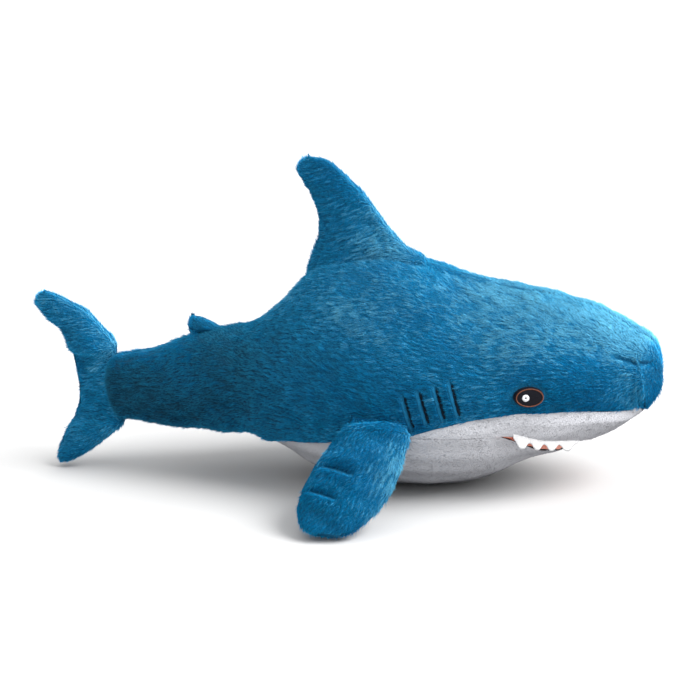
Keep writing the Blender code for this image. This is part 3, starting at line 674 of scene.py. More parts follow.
MATERIALS = {
    # blue: the root colour is painted shade, the lowest shade stop paints the shaded flanks and the highest,
    # pale stop paints the highlight on top of the head
    "blue_pile": pile_material(
        "blue_pile", root=(0.0, 0.045, 0.11), body=(0.003, 0.155, 0.33), tip=(0.01, 0.41, 0.76),
        shades=((0.02, 0.15, 0.19), (1.1, 1.4, 1.45), (40.0, 3.0, 2.1)),
        patch_dark=(0.55, 0.66, 0.75), sheen=0.35, sheen_tint=(0.08, 0.62, 1.0)),
    # white: the lowest shade stop paints the shade under the belly
    "white_pile": pile_material(
        "white_pile", root=(0.48, 0.485, 0.515), body=(0.52, 0.525, 0.56), tip=(0.57, 0.575, 0.61),
        shades=((0.45, 0.45, 0.46), WHITE, (1.05, 1.05, 1.05)),
        patch_dark=(0.92, 0.92, 0.94), sheen=0.1, sheen_tint=WHITE),
    "blue_backing": backing_material("blue_backing", (0.0, 0.055, 0.12), (0.002, 0.1, 0.21),
                                     painted_shade=(0.4, 0.4, 0.4)),
    "white_backing": backing_material("white_backing", (0.49, 0.495, 0.525), (0.54, 0.545, 0.58),
                                      painted_shade=(0.45, 0.45, 0.46)),
    "salmon_felt": felt_material("salmon_felt", (0.72, 0.29, 0.21), (0.88, 0.42, 0.33)),
    "tooth_felt": felt_material("tooth_felt", (0.66, 0.66, 0.67), (0.78, 0.78, 0.79)),
    "black_thread": thread_material("black_thread", (0.001, 0.001, 0.003), (0.005, 0.005, 0.01), 0.6),
    "amber_thread": thread_material("amber_thread", (0.09, 0.03, 0.017), (0.19, 0.066, 0.036)),
    "white_thread": thread_material("white_thread", (0.5, 0.5, 0.52), (0.78, 0.78, 0.8)),
    # the gill thread's near-black is its own dark colour and painted shade of the slit it lies in
    "gill_thread": thread_material("gill_thread", (0.0, 0.004, 0.01), (0.001, 0.012, 0.025), 0.8),
}


# --- Making meshes -------------------------------------------------------------------------------

def mesh_from(name, points, faces, materials, slots=None, uvs=None, attributes=None):
    """A smooth mesh from points in millimetres and a list of face arrays, one for each face size."""
    mesh = bpy.data.meshes.new(name)
    corners = np.concatenate([group.ravel() for group in faces]).astype(np.int32)
    sizes = np.concatenate([np.full(len(group), group.shape[1]) for group in faces])
    starts = np.concatenate([[0], np.cumsum(sizes)[:-1]]).astype(np.int32)
    mesh.vertices.add(len(points))
    mesh.vertices.foreach_set("co", (points * MM).astype(np.float32).ravel())
    mesh.loops.add(len(corners))
    mesh.loops.foreach_set("vertex_index", corners)
    mesh.polygons.add(len(sizes))
    mesh.polygons.foreach_set("loop_start", starts)
    if slots is not None:
        mesh.polygons.foreach_set("material_index", slots.astype(np.int32))
    mesh.update(calc_edges=True)
    mesh.shade_smooth()
    for key in materials:
        mesh.materials.append(MATERIALS[key])
    if uvs is not None:
        layer = mesh.uv_layers.new(name="OFBake")
        layer.data.foreach_set("uv", uvs[corners].astype(np.float32).ravel())
    for key, values in (attributes or {}).items():
        attribute = mesh.attributes.new(key, "FLOAT", "POINT")
        attribute.data.foreach_set("value", values.astype(np.float32))
    return placed(name, mesh)


def grid_faces(rows, columns, first, turned):
    corner = first + np.arange(rows - 1)[:, None] * columns + np.arange(columns - 1)[None, :]
    faces = np.stack([corner, corner + columns, corner + columns + 1, corner + 1], axis=-1).reshape(-1, 4)
    return faces[:, ::-1] if turned else faces


def grid_piece(name, points, look, turned=False):
    """A piece made of one grid of points."""
    faces = grid_faces(*points.shape[:2], 0, turned)
    return mesh_from(name, points.reshape(-1, 3), [faces], (look,))


def sewn_on(piece, node):
    """Makes a piece stand for a node of the trunk."""
    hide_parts(node)
    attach(piece, "trunk")


BACKING_SHARE = 0.2  # of a cover's UV map. The rest holds one small cell for each tuft.


def backing_uvs(part, parts, rows, columns):
    """One sheet's strip of the map's lowest part."""
    along, across = np.linspace(0, 1, rows), np.linspace(0, 0.95 * BACKING_SHARE, columns)
    u, v = np.meshgrid(along, across, indexing="ij")
    return np.stack([(part + u * 0.98) / parts, v], axis=-1).reshape(-1, 2)


def tuft_uvs(first, count, total):
    """The corners of each tuft in its own cell of a square grid of cells."""
    height = 1.0 - BACKING_SHARE
    per_row = int(math.ceil(math.sqrt(total / height)))
    number = first + np.arange(count)
    column, row = number % per_row, number // per_row
    u = (column[:, None] + np.array((0.1, 0.1, 0.1, 0.9))) / per_row
    v = BACKING_SHARE + (row[:, None] + np.array((0.1, 0.5, 0.9, 0.5))) * height / math.ceil(total / per_row)
    return np.stack([u, v], axis=-1).reshape(-1, 2)


def cover(name, sheets, pile, backing, look, length_shares):
    """One sewn cover: its backing sheets and the pile that grows from them, as one mesh."""
    grown = [grow(sheet, pile, share) for sheet, share in zip(sheets, length_shares)]
    total = sum(len(tufts) for tufts, _ in grown)
    points, quads, triangles, uvs, heights, shades = [], [], [], [], [], []
    first, done = 0, 0
    for part, (sheet, (tufts, shade)) in enumerate(zip(sheets, grown)):
        rows, columns = sheet.points.shape[:2]
        count = len(tufts)
        points += [sheet.points.reshape(-1, 3), tufts.reshape(-1, 3)]
        quads.append(grid_faces(rows, columns, first, sheet.turned))
        starts = first + rows * columns + 4 * np.arange(count)[:, None]
        triangles += [starts + np.array(corners) for corners in TUFT_FACES]
        uvs += [backing_uvs(part, len(sheets), rows, columns), tuft_uvs(done, count, total)]
        heights += [np.zeros(rows * columns), np.tile(TUFT_HEIGHTS, count)]
        # the backing's shade is the sheet's painted light and shade alone
        shades += [0.5 + sheet.tone.ravel(), np.repeat(shade, 4)]
        first += rows * columns + 4 * count
        done += count
    faces = (np.concatenate(quads), np.concatenate(triangles))
    slots = np.repeat((0, 1), (len(faces[0]), len(faces[1])))
    return mesh_from(name, np.concatenate(points), faces, (backing, look), slots, np.concatenate(uvs),
                     {"pile_height": np.concatenate(heights), "pile_shade": np.concatenate(shades)})


def blue_cover(name, sheet, length_share):
    piece = cover(name, [sheet], BLUE_PILE, "blue_backing", "blue_pile", [length_share])
    return piece


def white_cover(name, sheets):
    full_length = [np.ones(sheet.points.shape[:2]) for sheet in sheets]
    piece = cover(name, sheets, WHITE_PILE, "white_backing", "white_pile", full_length)
    return piece


# --- Body covers ---------------------------------------------------------------------------------

body = BodyForm()


def body_middle(x):
    mid, _, _ = body.section(x)
    return np.stack([x, 0.0 * x, mid], axis=-1)[:, None, :]


def body_sheet(xs, upper, lower, side, width_share=1.0, columns=BODY_COLUMNS):
    """A sheet on the body between two angles from the widest line, a column each way."""
    share = np.linspace(0.0, 1.0, columns)[None, :]
    angles = upper[:, None] * (1 - share) + lower[:, None] * share
    x = np.repeat(xs[:, None], columns, axis=1)
    points = body.points(x, angles, side, np.broadcast_to(width_share, xs.shape)[:, None])
    sheet = Sheet(keep_off_floor(points), body_middle(xs))
    sheet.push(np.full(points.shape[:2], -SKIN_DEPTH))
    return sheet


def valley(distance, depth, width):
    """A rounded groove where the distance is nought."""
    return -depth * np.exp(-((distance / width) ** 2))


def fade(values, start, end):
    """0 at the start and 1 at the end, with soft ends."""
    share = np.clip((values - start) / (end - start), 0.0, 1.0)
    return share * share * (3.0 - 2.0 * share)


def along_segment(u, v, start, end):
    """How far each (u, v) lies across a segment, and 1 along its length but 0 past its ends."""
    run = np.array(end) - np.array(start)
    size = np.linalg.norm(run)
    forward = ((u - start[0]) * run[0] + (v - start[1]) * run[1]) / size
    across = ((u - start[0]) * run[1] - (v - start[1]) * run[0]) / size
    end_fade = size * 0.15
    inside = fade(forward, -end_fade, end_fade) * fade(size - forward, -end_fade, end_fade)
    return across, inside


def nap_along_body(sheet):
    """The nap runs from the nose to the tail, rising a little on the flank."""
    x, z = sheet.points[..., 0], sheet.points[..., 2]
    lift = 0.3 * np.exp(-(((x - 10.0) / 60.0) ** 2)) * np.exp(-(((z - 60.0) / 30.0) ** 2))
    sheet.comb(np.stack([-np.ones_like(x), 0.0 * x, lift], axis=-1))


def gill_lines(word):
    """The upper and lower ends, as (x, z), of each gill's thread on one side."""
    names = sorted(name for name in frame["nodes"] if name.startswith(f"gill_thread_{word}"))
    boxes = [box_mm(name) for name in names]
    return names, [((low[0] + 0.5, high[2]), (high[0] - 0.5, low[2])) for low, high in boxes]


def gill_grooves(sheet, word):
    """Each gill is a slit with the cloth behind it drawn up into a low pleat."""
    x, z = sheet.points[..., 0], sheet.points[..., 2]
    push, length = 0.0 * x, np.ones_like(x)
    pleat_behind = 1.7
    for start, end in gill_lines(word)[1]:
        behind, inside = along_segment(x, z, start, end)
        slit = valley(behind, depth=1.7, width=0.6)
        pleat = -valley(behind - pleat_behind, depth=1.2, width=1.1)
        push += inside * (slit + pleat)
        # the pile in front lies over the thread, so more is cut away there than behind
        bare = np.where(behind < 0.0, 1.0 - fade(-behind, 1.0, 3.2), np.exp(-((behind / 0.8) ** 4)))
        length -= inside * bare
    return push, np.clip(length, 0.0, 1.0)


def clear_eye(sheet, word):
    """The pile stops round the eye's patch, and the cloth is drawn in under it."""
    middle, half = middle_and_half(f"eye_{word}_patch")
    x, z = sheet.points[..., 0], sheet.points[..., 2]
    ahead = 0.7  # the nap lies towards the tail, so more pile is cut away in front
    away = np.hypot((x - middle[0] - ahead) / (half[0] + ahead), (z - middle[2]) / half[2])
    return -0.5 * (1.0 - fade(away, 0.7, 1.5)), fade(away, 1.0, 1.3)


def head_details(sheet, word):
    """The gills, the eye's hollow and the dart on the nose."""
    x, z = sheet.points[..., 0], sheet.points[..., 2]
    gill_push, gill_length = gill_grooves(sheet, word)
    eye_push, eye_length = clear_eye(sheet, word)
    across, inside = along_segment(x, z, *NOSE_DART)
    dart = inside * (valley(across, depth=1.8, width=0.9) - valley(across - 2.4, depth=0.6, width=1.8))
    in_dart = 1.0 - 0.75 * inside * np.exp(-((across / 1.2) ** 2))
    return gill_push + eye_push + dart, gill_length * eye_length * in_dart


def spine_seam(x, from_top):
    """The back's seam: a low ridge over the shoulders and the back, and a groove over the rest."""
    ridge = fade(x, 30.0, 40.0) * fade(-x, -82.0, -74.0)
    shallow = 1.0 - 0.6 * fade(x, 120.0, 146.0)
    groove = (1.0 - ridge) * valley(from_top, depth=1.3 * shallow, width=1.8)
    return groove - ridge * valley(from_top, depth=1.2, width=2.6)


def body_painted_light(x, normals):
    """The pile is painted paler on top of the head and on the nose, as painted highlight, and darker on the
    flanks towards the tail, as painted shade.
    """
    nose = 0.03 + 0.07 * fade(x, 110.0, 140.0)
    top = (0.1 + 0.5 * fade(x, 50.0, 110.0)) * fade(normals[..., 2], 0.15, 1.0)
    rear = fade(-x, -20.0, 60.0) * (0.16 + 0.5 * abs(normals[..., 1]))
    return nose + top - rear


def blue_body_sheet(xs, side, columns):
    """Blue cloth from the spine down to its seam, and how long its pile is."""
    all_round = (xs > SNOUT_FROM) | (xs < body.seam_xs[0])
    sheet = body_sheet(xs, np.full(len(xs), SPINE), np.where(all_round, BELLY, -body.seam(xs)), side,
                       columns=columns)
    top, bottom = sheet.from_edges()
    x = sheet.points[..., 0]
    full = 1.1 * fade(-x, 20.0, 60.0) + 1.0 * fade(x, 134.0, 146.0)  # the rear body and the nose
    seams = spine_seam(x, top) + valley(bottom, depth=0.3, width=1.6)
    dents = 0.5 * waves(sheet.points, size=20.0, seed=3) + 0.2 * waves(sheet.points, size=8.0, seed=4)
    sheet.push(full + seams + dents)
    nap_along_body(sheet)
    # painted highlight on the head's top and the nose, painted shade on the flanks towards the tail
    sheet.tone = body_painted_light(x, sheet.normals)
    near_seam = 0.45 + 0.55 * fade(top, 0.2, 2.5)
    return sheet, np.where(x > HEAD_FROM_X, near_seam, 1.0)


def back_covers():
    nose = np.concatenate([even_xs(HEAD_FROM_X, SNOUT_FROM, FINE_STEP),
                           dome_xs(SNOUT_FROM, NOSE_X - 0.01, 24)])
    stem = np.concatenate([dome_xs(TAIL_ROOT_X, STEM_END_X + 0.01, 14)[::-1],
                           even_xs(TAIL_ROOT_X, TRUNK_REAR_X)])
    middle = even_xs(TRUNK_REAR_X, HEAD_FROM_X)
    for word, side in SIDES.items():
        sheet, length = blue_body_sheet(nose, side, FINE_COLUMNS)
        push, share = head_details(sheet, word)
        sheet.push(push)
        head = blue_cover(f"head_cover_{word}", sheet, length * share)
        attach(head, "trunk")

        back = blue_cover(f"back_cover_{word}", *blue_body_sheet(middle, side, BODY_COLUMNS))
        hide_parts(f"back_panel_{word}_front")
        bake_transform(back)

        rear = blue_cover(f"tail_stem_cover_{word}", *blue_body_sheet(stem, side, BODY_COLUMNS))
        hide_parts(f"back_panel_{word}_rear")
        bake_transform(rear)


def white_sheet(xs, upper, lower, side, width_share=1.0, seam_depth=1.0):
    """White cloth, which dips to the blue cloth's edge where it is sewn to it."""
    sheet = body_sheet(xs, upper, lower, side, width_share, WHITE_COLUMNS)
    top, _ = sheet.from_edges()
    stretched = sheet.points * (0.4, 1.0, 1.6)  # so that the small folds run along the body
    folds = 0.35 * waves(sheet.points, size=16.0, seed=5) + 0.25 * waves(stretched, size=9.0, seed=6)
    fuller_snout = 1.2 * fade(sheet.points[..., 0], HINGE[0] + 8.0, HINGE[0] + 30.0)
    fuller = (0.5 + fuller_snout) * (1.0 - seam_depth * (1.0 - fade(top, 0.0, 7.0)))
    sheet.push(fuller - 0.3 * seam_depth + folds)
    nap_along_body(sheet)
    # painted shade: the white pile is darker where the cloth faces down
    sheet.tone = -0.4 * fade(-sheet.normals[..., 2], 0.2, 1.0)
    return sheet


def belly_covers():
    xs = even_xs(body.seam_xs[0], JAW_FROM_X)
    bottom = np.full(len(xs), BELLY)
    sheets = [white_sheet(xs, -body.seam(xs), bottom, side) for side in SIDES.values()]
    piece = white_cover("belly_cover", sheets)
    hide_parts("belly_panel")
    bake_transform(piece)


def lip_end_x(line):
    """Where a lip's line meets the bottom of the head."""
    xs = np.arange(HINGE[0], SNOUT_FROM, 0.5)
    return xs[np.argmax(body.lip(xs, line) <= BELLY + 1.0)]


def jaw_narrowing(x):
    return 1.0 - (1.0 - JAW_NARROWING) * fade(x, HINGE[0] - 8.0, HINGE[0] + 6.0)


def throat_cover():
    xs = even_xs(JAW_FROM_X, lip_end_x(LOWER_LIP))
    cheek = np.minimum(-body.seam(xs), body.lip(xs, CHEEK))
    top = np.where(xs < HINGE[0], cheek, body.lip(xs, LOWER_LIP))
    bottom = np.full(len(xs), BELLY)
    depth = fade(-xs, -CHEEK_FROM_X - 6.0, -CHEEK_FROM_X)[:, None]
    sheets = [white_sheet(xs, top, bottom, side, jaw_narrowing(xs), depth) for side in SIDES.values()]
    piece = white_cover("throat_cover", sheets)
    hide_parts("jaw_panel", "jaw_stuffing")
    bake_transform(piece)


def snout_cover():
    xs = even_xs(CHEEK_FROM_X, SNOUT_FROM - 0.5)
    lip = np.where(xs < HINGE[0], body.lip(xs, CHEEK), np.maximum(body.lip(xs, UPPER_LIP), BELLY))
    lip = np.minimum(lip, -body.seam(xs) - 0.5) - 1.6 * fade(-xs, -HINGE[0], 8.0 - HINGE[0])
    sheets = [white_sheet(xs, -body.seam(xs), lip, side) for side in SIDES.values()]
    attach(white_cover("snout_cover", sheets), "trunk")


# --- Mouth ---------------------------------------------------------------------------------------

LINING_INSET = 1.5  # the linings are sewn this far inside the lips
TOOTH_TUCK = 1.6  # felt hidden behind the upper lip
TOOTH_LENGTH = 4.9
TOOTH_FELT = 1.0
TOOTH_WIDTH = 5.8
TEETH = 4
GAP_DEPTH = 0.56  # as a share of a tooth's length
GAP_SHARPNESS = 2.8  # higher leaves narrower gaps


def lip_edge(xs, line, side, width_share, inset):
    """Points along a lip on one side, moved in by an inset."""
    angles = np.maximum(body.lip(xs, line), BELLY)
    edge = body.points(xs, angles, side, width_share)
    middle = body_middle(xs)[:, 0, :]
    return edge + unit(middle - edge) * inset


def lining(name, node, xs, line, width_share, swell):
    """A felt sheet across the mouth from lip to lip, swelling up behind the teeth."""
    right = lip_edge(xs, line, SIDES["right"], width_share, LINING_INSET)
    left = lip_edge(xs, line, SIDES["left"], width_share, LINING_INSET)
    share = np.linspace(0.0, 1.0, LINING_COLUMNS)[None, :, None]
    points = right[:, None, :] * (1.0 - share) + left[:, None, :] * share
    points[..., 2] += swell[:, None] * np.sin(math.pi * share[..., 0]) ** 0.35
    points += 0.2 * waves(points, size=2.5, seed=21)[..., None]
    piece = grid_piece(name, points, "salmon_felt")
    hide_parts(node)
    return piece


def linings():
    upper_xs = even_xs(HINGE[0] - 1.0, lip_end_x(UPPER_LIP) - 1.0, FINE_STEP)
    upper = lining("upper_lining", "mouth_lining_upper", upper_xs, UPPER_LIP, 1.0, 0.0 * upper_xs)
    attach(upper, "trunk")
    lower_xs = even_xs(HINGE[0] - 1.0, lip_end_x(LOWER_LIP), FINE_STEP)
    mouth = [lip_edge(lower_xs, line, 1.0, 1.0, 0.0)[:, 2] for line in (LOWER_LIP, UPPER_LIP)]
    lower = lining("lower_lining", "mouth_lining_lower", lower_xs, LOWER_LIP, JAW_NARROWING,
                   0.75 * (mouth[1] - mouth[0]))
    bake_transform(lower)


def teeth():
    """A felt strip hangs inside each side of the upper lip, cut into teeth with rounded gaps."""
    profile = np.array(((0.0, 0.5), (0.35, 0.5), (0.7, 0.48), (0.88, 0.36), (1.0, 0.0), (0.88, -0.36),
                        (0.7, -0.48), (0.35, -0.5), (0.0, -0.5)))
    for word, side in SIDES.items():
        low, _ = box_mm(f"teeth_strip_{word}")
        end = low[0] + TEETH * TOOTH_WIDTH
        xs = even_xs(low[0] - 0.4, end + 2.0, 0.12)
        top = lip_edge(xs, UPPER_LIP, side, 1.0, 1.2)
        gap = np.abs(np.sin(math.pi * ((xs - low[0]) / TOOTH_WIDTH - 0.5))) ** GAP_SHARPNESS
        tooth = TOOTH_LENGTH * (1.0 - GAP_DEPTH * gap)
        ends = fade(xs, xs[0] - 0.2, xs[0] + 1.4) * fade(-xs, -xs[-1] - 0.2, 0.5 - end)
        drop = 0.5 + tooth * ends
        drop *= 1.0 + 0.05 * waves(top, size=3.0, seed=31)
        outward = unit(top - body_middle(xs)[:, 0, :]) * (1.0, 1.0, 0.0)
        points = np.repeat(top[:, None, :], len(profile), axis=1)
        points[..., 2] += TOOTH_TUCK - profile[None, :, 0] * (drop + TOOTH_TUCK)[:, None]
        points += outward[:, None, :] * profile[None, :, 1, None] * TOOTH_FELT
        points += 0.06 * waves(points, size=0.8, seed=32)[..., None]
        piece = grid_piece(f"teeth_{word}", points, "tooth_felt", side < 0.0)
        sewn_on(piece, f"teeth_strip_{word}")


# --- Stitched eyes, gills and closing seam -------------------------------------------------------

RING_WIDTH = 0.7  # the CAD ring's, whose middle line the thread follows
RING_HEIGHT = 0.68


def skin_place(x, z, side, height):
    """Points at a height above the body's outline at (x, z) on one side."""
    mid, up, across = body.section(x)
    rise = np.clip((z - mid) / up, -0.99, 0.99)
    y = side * across * np.sqrt(1.0 - rise**2)
    slope = np.stack([0.0 * x, y / across**2, (z - mid) / up**2], axis=-1)
    ahead = body.section(x + 1.0)[2] - body.section(x - 1.0)[2]
    slope[..., 0] = -ahead / 2.0 * abs(y) / across**2
    return np.stack([x, y, z], axis=-1) + unit(slope) * np.broadcast_to(height, x.shape)[..., None]


def oval(middle, half, side, height):
    """A disc of points: rows from the middle out, heights from a function of the place on it."""
    share = np.linspace(0.02, 1.0, 56)[:, None]
    turn = np.linspace(0.0, 2.0 * math.pi, 120)[None, :]
    u, v = share * np.cos(turn), share * np.sin(turn)
    return skin_place(middle[0] + half[0] * u, middle[2] + half[2] * v, side, height(u, v, share + 0.0 * u))


def stitched_patch(name, node, side, look, height, thread, edge):
    """A satin-stitched oval: threads side by side over a soft dome, turned down at its edge."""
    middle, half = middle_and_half(node)

    def surface(u, v, share):
        ridges = np.abs(np.sin(math.pi * (u * half[0] + 0.15 * np.sin(5.0 * v)) / thread))
        dome = np.sqrt(np.clip(1.0 - share**2 * 0.96, 0.0, 1.0))
        skirt = edge * fade(share, 0.9, 1.0)
        centre = valley(share, 0.6, 0.25) * (half[0] < 3.0)  # the last stitch sinks a small eyelet
        return height * (0.55 + 0.45 * dome) + 0.13 * ridges * (share < 0.97) - skirt + centre

    sewn_on(grid_piece(name, oval(middle, half, side, surface), look, side < 0.0), node)


def cord(name, line, look, radius, twist, gap=0.0):
    """A twisted thread along a line of points. It thins by the gap's share between stitches."""
    tangents = unit(np.gradient(line, axis=0))
    aside = unit(np.cross(tangents, np.array((0.3, 0.1, 1.0))))  # no thread runs this way
    other = np.cross(tangents, aside)
    length = np.concatenate([[0.0], np.cumsum(np.linalg.norm(np.diff(line, axis=0), axis=1))])
    turn = np.linspace(0.0, 2.0 * math.pi, 12)[None, :]
    strands = 1.0 + 0.16 * np.cos(2.0 * (turn - 2.0 * math.pi * length[:, None] / twist))
    stitch = 1.0 - gap * np.abs(np.cos(math.pi * length / (3.0 * twist)))[:, None] ** 6
    size = radius * strands * stitch
    points = (line[:, None, :] + aside[:, None, :] * (size * np.cos(turn))[..., None]
              + other[:, None, :] * (size * np.sin(turn))[..., None])
    return grid_piece(name, points, look)


def eyes():
    for word, side in SIDES.items():
        stitched_patch(f"eye_{word}", f"eye_{word}_patch", side, "black_thread",
                       height=0.7, thread=0.45, edge=2.0)

        middle, half = middle_and_half(f"eye_{word}_ring")
        half = half - RING_WIDTH / 2
        turn = np.linspace(0.0, 2.0 * math.pi, 260)
        x, z = middle[0] + half[0] * np.cos(turn), middle[2] + half[2] * np.sin(turn)
        line = skin_place(x, z, side, RING_HEIGHT)
        ring = cord(f"eye_outline_{word}", line, "amber_thread", radius=0.23, twist=0.8)
        sewn_on(ring, f"eye_{word}_ring")

        stitched_patch(f"eye_glint_{word}", f"eye_{word}_highlight", side, "white_thread",
                       height=1.05, thread=0.4, edge=0.9)


def gill_threads():
    share = np.linspace(0.02, 0.98, 90)
    for word, side in SIDES.items():
        for name, (start, end) in zip(*gill_lines(word)):
            x = start[0] + (end[0] - start[0]) * share
            z = start[1] + (end[1] - start[1]) * share
            line = skin_place(x, z, side, -SKIN_DEPTH - 0.3)
            piece = cord(f"{name}_stitches", line, "gill_thread", radius=0.55, twist=1.1, gap=0.5)
            sewn_on(piece, name)


def closing_seam():
    """The hand-sewn seam under the belly, its stitches pulled down into the pile."""
    node = "closing_seam_thread"
    low, high = box_mm(node)
    x = np.linspace(low[0] + 0.6, high[0] - 0.6, 160)
    z = np.linspace(high[2], low[2], len(x)) - 0.4
    sunk = -2.0 + 0.5 * np.abs(np.sin(np.linspace(0.0, 6.0 * math.pi, len(x))))
    line = skin_place(x, z, SIDES["left"], sunk)
    sewn_on(cord("closing_stitches", line, "white_thread", radius=0.4, twist=1.0), node)


# --- Fins ----------------------------------------------------------------------------------------

def fin_sheet(form, levels, turn, flare=0.0, shrink=1.0):
    """One face of a fin, from its leading edge to its trailing edge, with a sunk seam at both."""
    level, degrees = np.meshgrid(levels, np.linspace(0.0, 180.0 * turn, FIN_COLUMNS), indexing="ij")
    points = form.points(level, degrees, np.broadcast_to(flare, levels.shape)[:, None])
    from_tip = np.minimum(form.levels[-1] - level, level - form.levels[0] + form.open_root * form.levels[-1])
    points = points + form.swelling(level, degrees) * fade(from_tip, 0.0, 5.0)[..., None]
    heart = np.clip(levels, form.levels[0] + 5.0, form.levels[-1] - 5.0)
    lead, trail, _ = form.slice(heart)
    inside = form.centre + heart[:, None] * form.axis + ((lead + trail) / 2)[:, None] * form.chord
    sheet = Sheet(points, inside[:, None, :])
    front, back = sheet.from_edges()
    puff = 0.45 * waves(sheet.points, size=9.0, seed=8) + 0.2 * waves(sheet.points, size=4.0, seed=9)
    inner = fade(np.minimum(front, back), 0.0, 5.0)
    full_front = -valley(front, depth=0.9, width=6.0)
    seams = valley(front, depth=0.9, width=1.1) + valley(back, depth=0.8, width=1.1)
    sheet.push((full_front + seams) * fade(from_tip, 0.0, 4.0) - shrink + puff * inner)
    near_seam = 0.55 + 0.45 * fade(np.minimum(front, back), 0.0, 2.0)
    return sheet, near_seam * (0.25 + 0.75 * fade(from_tip, 0.5, 3.5))


def fin_piece(name, sheet, length, way, tipwards, node, bodies, start, end):
    """A fin's cover. Its pile lies one way and turns tipwards along the trailing edge. The pile in front is
    painted lighter, as painted light from the lamp beyond the nose."""
    _, from_rear = sheet.from_edges()
    inner = fade(from_rear, 0.5, 8.0)[..., None]
    sheet.comb(np.array(way, float) * inner + np.array(tipwards, float) * (1.0 - inner))
    # painted light: the pile is lighter towards the leading edge
    sheet.tone = 0.02 + 0.32 * fade(from_rear, 16.0, 44.0)
    piece = blue_cover(name, sheet, length)
    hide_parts(node)
    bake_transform(piece)


def spread_root(sheet, form):
    """The fin's root runs out along the back in a fillet, in front more than behind."""
    lead, trail, _ = form.slice(form.levels[:1])
    along = sheet.points @ form.chord - form.centre @ form.chord
    depth = np.clip(form.levels[0] + 4.0 - (sheet.points @ form.axis - form.centre @ form.axis), 0.0, 8.0)
    forwards = fade(along, (lead[0] + trail[0]) / 2, lead[0])
    rearwards = fade(-along, -(lead[0] + trail[0]) / 2, -trail[0])
    spread = forwards * (0.5 * depth + 0.1 * depth ** 2) - rearwards * 0.015 * depth ** 2
    sheet.points = sheet.points + spread[..., None] * form.chord
    sheet.measure()


def upright_form(fin, above, below, step, socket=None):
    """The form of a fin on the middle plane, measured between its box's ends, and that box."""
    nodes = (f"{fin}_panel_right", f"{fin}_panel_left")
    low, high = box_mm(nodes[0])
    levels = np.arange(low[2] + above, high[2] - below, step)
    return FinForm(nodes, (0, 0, 1), (1, 0, 0), (0, 1, 0), levels, socket=socket), low, high


def dorsal_cover():
    form, _, _ = upright_form("dorsal_fin", above=6.0, below=0.3, step=0.8)
    form.stuff(form.levels[0] - 3.0)
    levels = form.rows(form.levels[0] - 13.0)
    flare = 6.0 * np.exp(-((levels - levels[0]) / 13.0) ** 1.5)  # the root widens into the back
    for word, side in SIDES.items():
        sheet, length = fin_sheet(form, levels, side, flare)
        spread_root(sheet, form)
        fin_piece(f"dorsal_fin_cover_{word}", sheet, length, (-1.0, 0.0, -0.3), (0.0, 0.0, 1.0),
                  f"dorsal_fin_panel_{word}", ("trunk", "dorsal_fin"), *DORSAL_BEND)


def second_dorsal_cover():
    form, low, high = upright_form("second_dorsal_fin", above=1.0, below=0.2, step=0.4)
    form.stuff(form.levels[0] - 2.0)
    levels = form.rows(form.levels[0] - 5.0, 0.6)
    flare = 3.0 * np.exp(-((levels - levels[0]) / 4.5) ** 2)
    for word, side in SIDES.items():
        sheet, length = fin_sheet(form, levels, side, flare, shrink=0.8)
        height = 0.9 - 0.6 * fade(sheet.points[..., 0], low[0] + 6.0, high[0] + 3.0)  # lower in front
        sheet.points[..., 2] = low[2] + (sheet.points[..., 2] - low[2]) * height
        sheet.measure()
        fin_piece(f"second_dorsal_fin_cover_{word}", sheet, length * 0.8, (-1.0, 0.0, 0.1), (0.0, 0.0, 1.0),
                  f"second_dorsal_fin_panel_{word}", ("rear_body", "second_dorsal_fin"),
                  *SECOND_DORSAL_BEND)


def tail_cover():
    form, _, _ = upright_form("tail_fin", above=0.4, below=0.3, step=0.8, socket=TAIL_SOCKET)
    form.close(0, -1.0)
    form.open_root = False
    form.stuff(form.levels[0])
    for word, side in SIDES.items():
        sheet, length = fin_sheet(form, form.rows(form.levels[0]), side)
        outward = np.sign(sheet.points[..., 2:] - joint_origin("tail_swing")[2]) * (0.0, 0.0, 1.0)
        fin_piece(f"tail_fin_cover_{word}", sheet, length, (-1.0, 0.0, 0.0), outward,
                  f"tail_fin_panel_{word}", ("rear_body", "tail_fin"), *TAIL_BEND)


def flipper_covers():
    for word, side in SIDES.items():
        nodes = (f"flipper_{word}_upper_panel", f"flipper_{word}_lower_panel")
        root = joint_origin(f"flipper_{word}_flap")
        tip = Solid(*nodes).farthest(root)
        axis = unit(np.array((0.0, tip[1] - root[1], tip[2] - root[2])))
        under = np.array((0.0, axis[2] * side, -axis[1] * side))
        reach = float((tip - root) @ axis)
        form = FinForm(nodes, axis, (1, 0, 0), under, np.arange(-2.0, reach - 0.3, 0.8), root)
        form.stuff(form.levels[0] - 2.0)
        levels = form.rows(form.levels[0] - 6.0, 0.7)
        bend = (root - axis * 4.0, root + axis * 9.0)
        shoulder = -7.0 * np.clip((form.levels[0] + 1.0 - levels) / 7.0, 0.0, 1.0) ** 2  # sunk in the body
        for part, turn in (("lower", 1.0), ("upper", -1.0)):
            sheet, length = fin_sheet(form, levels, turn, shoulder)
            _, from_rear = sheet.from_edges()
            creases = flipper_creases(sheet, form, reach) if part == "upper" else 0.0
            sheet.push(creases + valley(from_rear, depth=1.4, width=7.0))  # thin behind
            fin_piece(f"flipper_{word}_{part}_cover", sheet, length, axis + np.array((-0.3, 0.0, 0.0)), axis,
                      f"flipper_{word}_{part}_panel", ("trunk", f"flipper_{word}"), *bend)


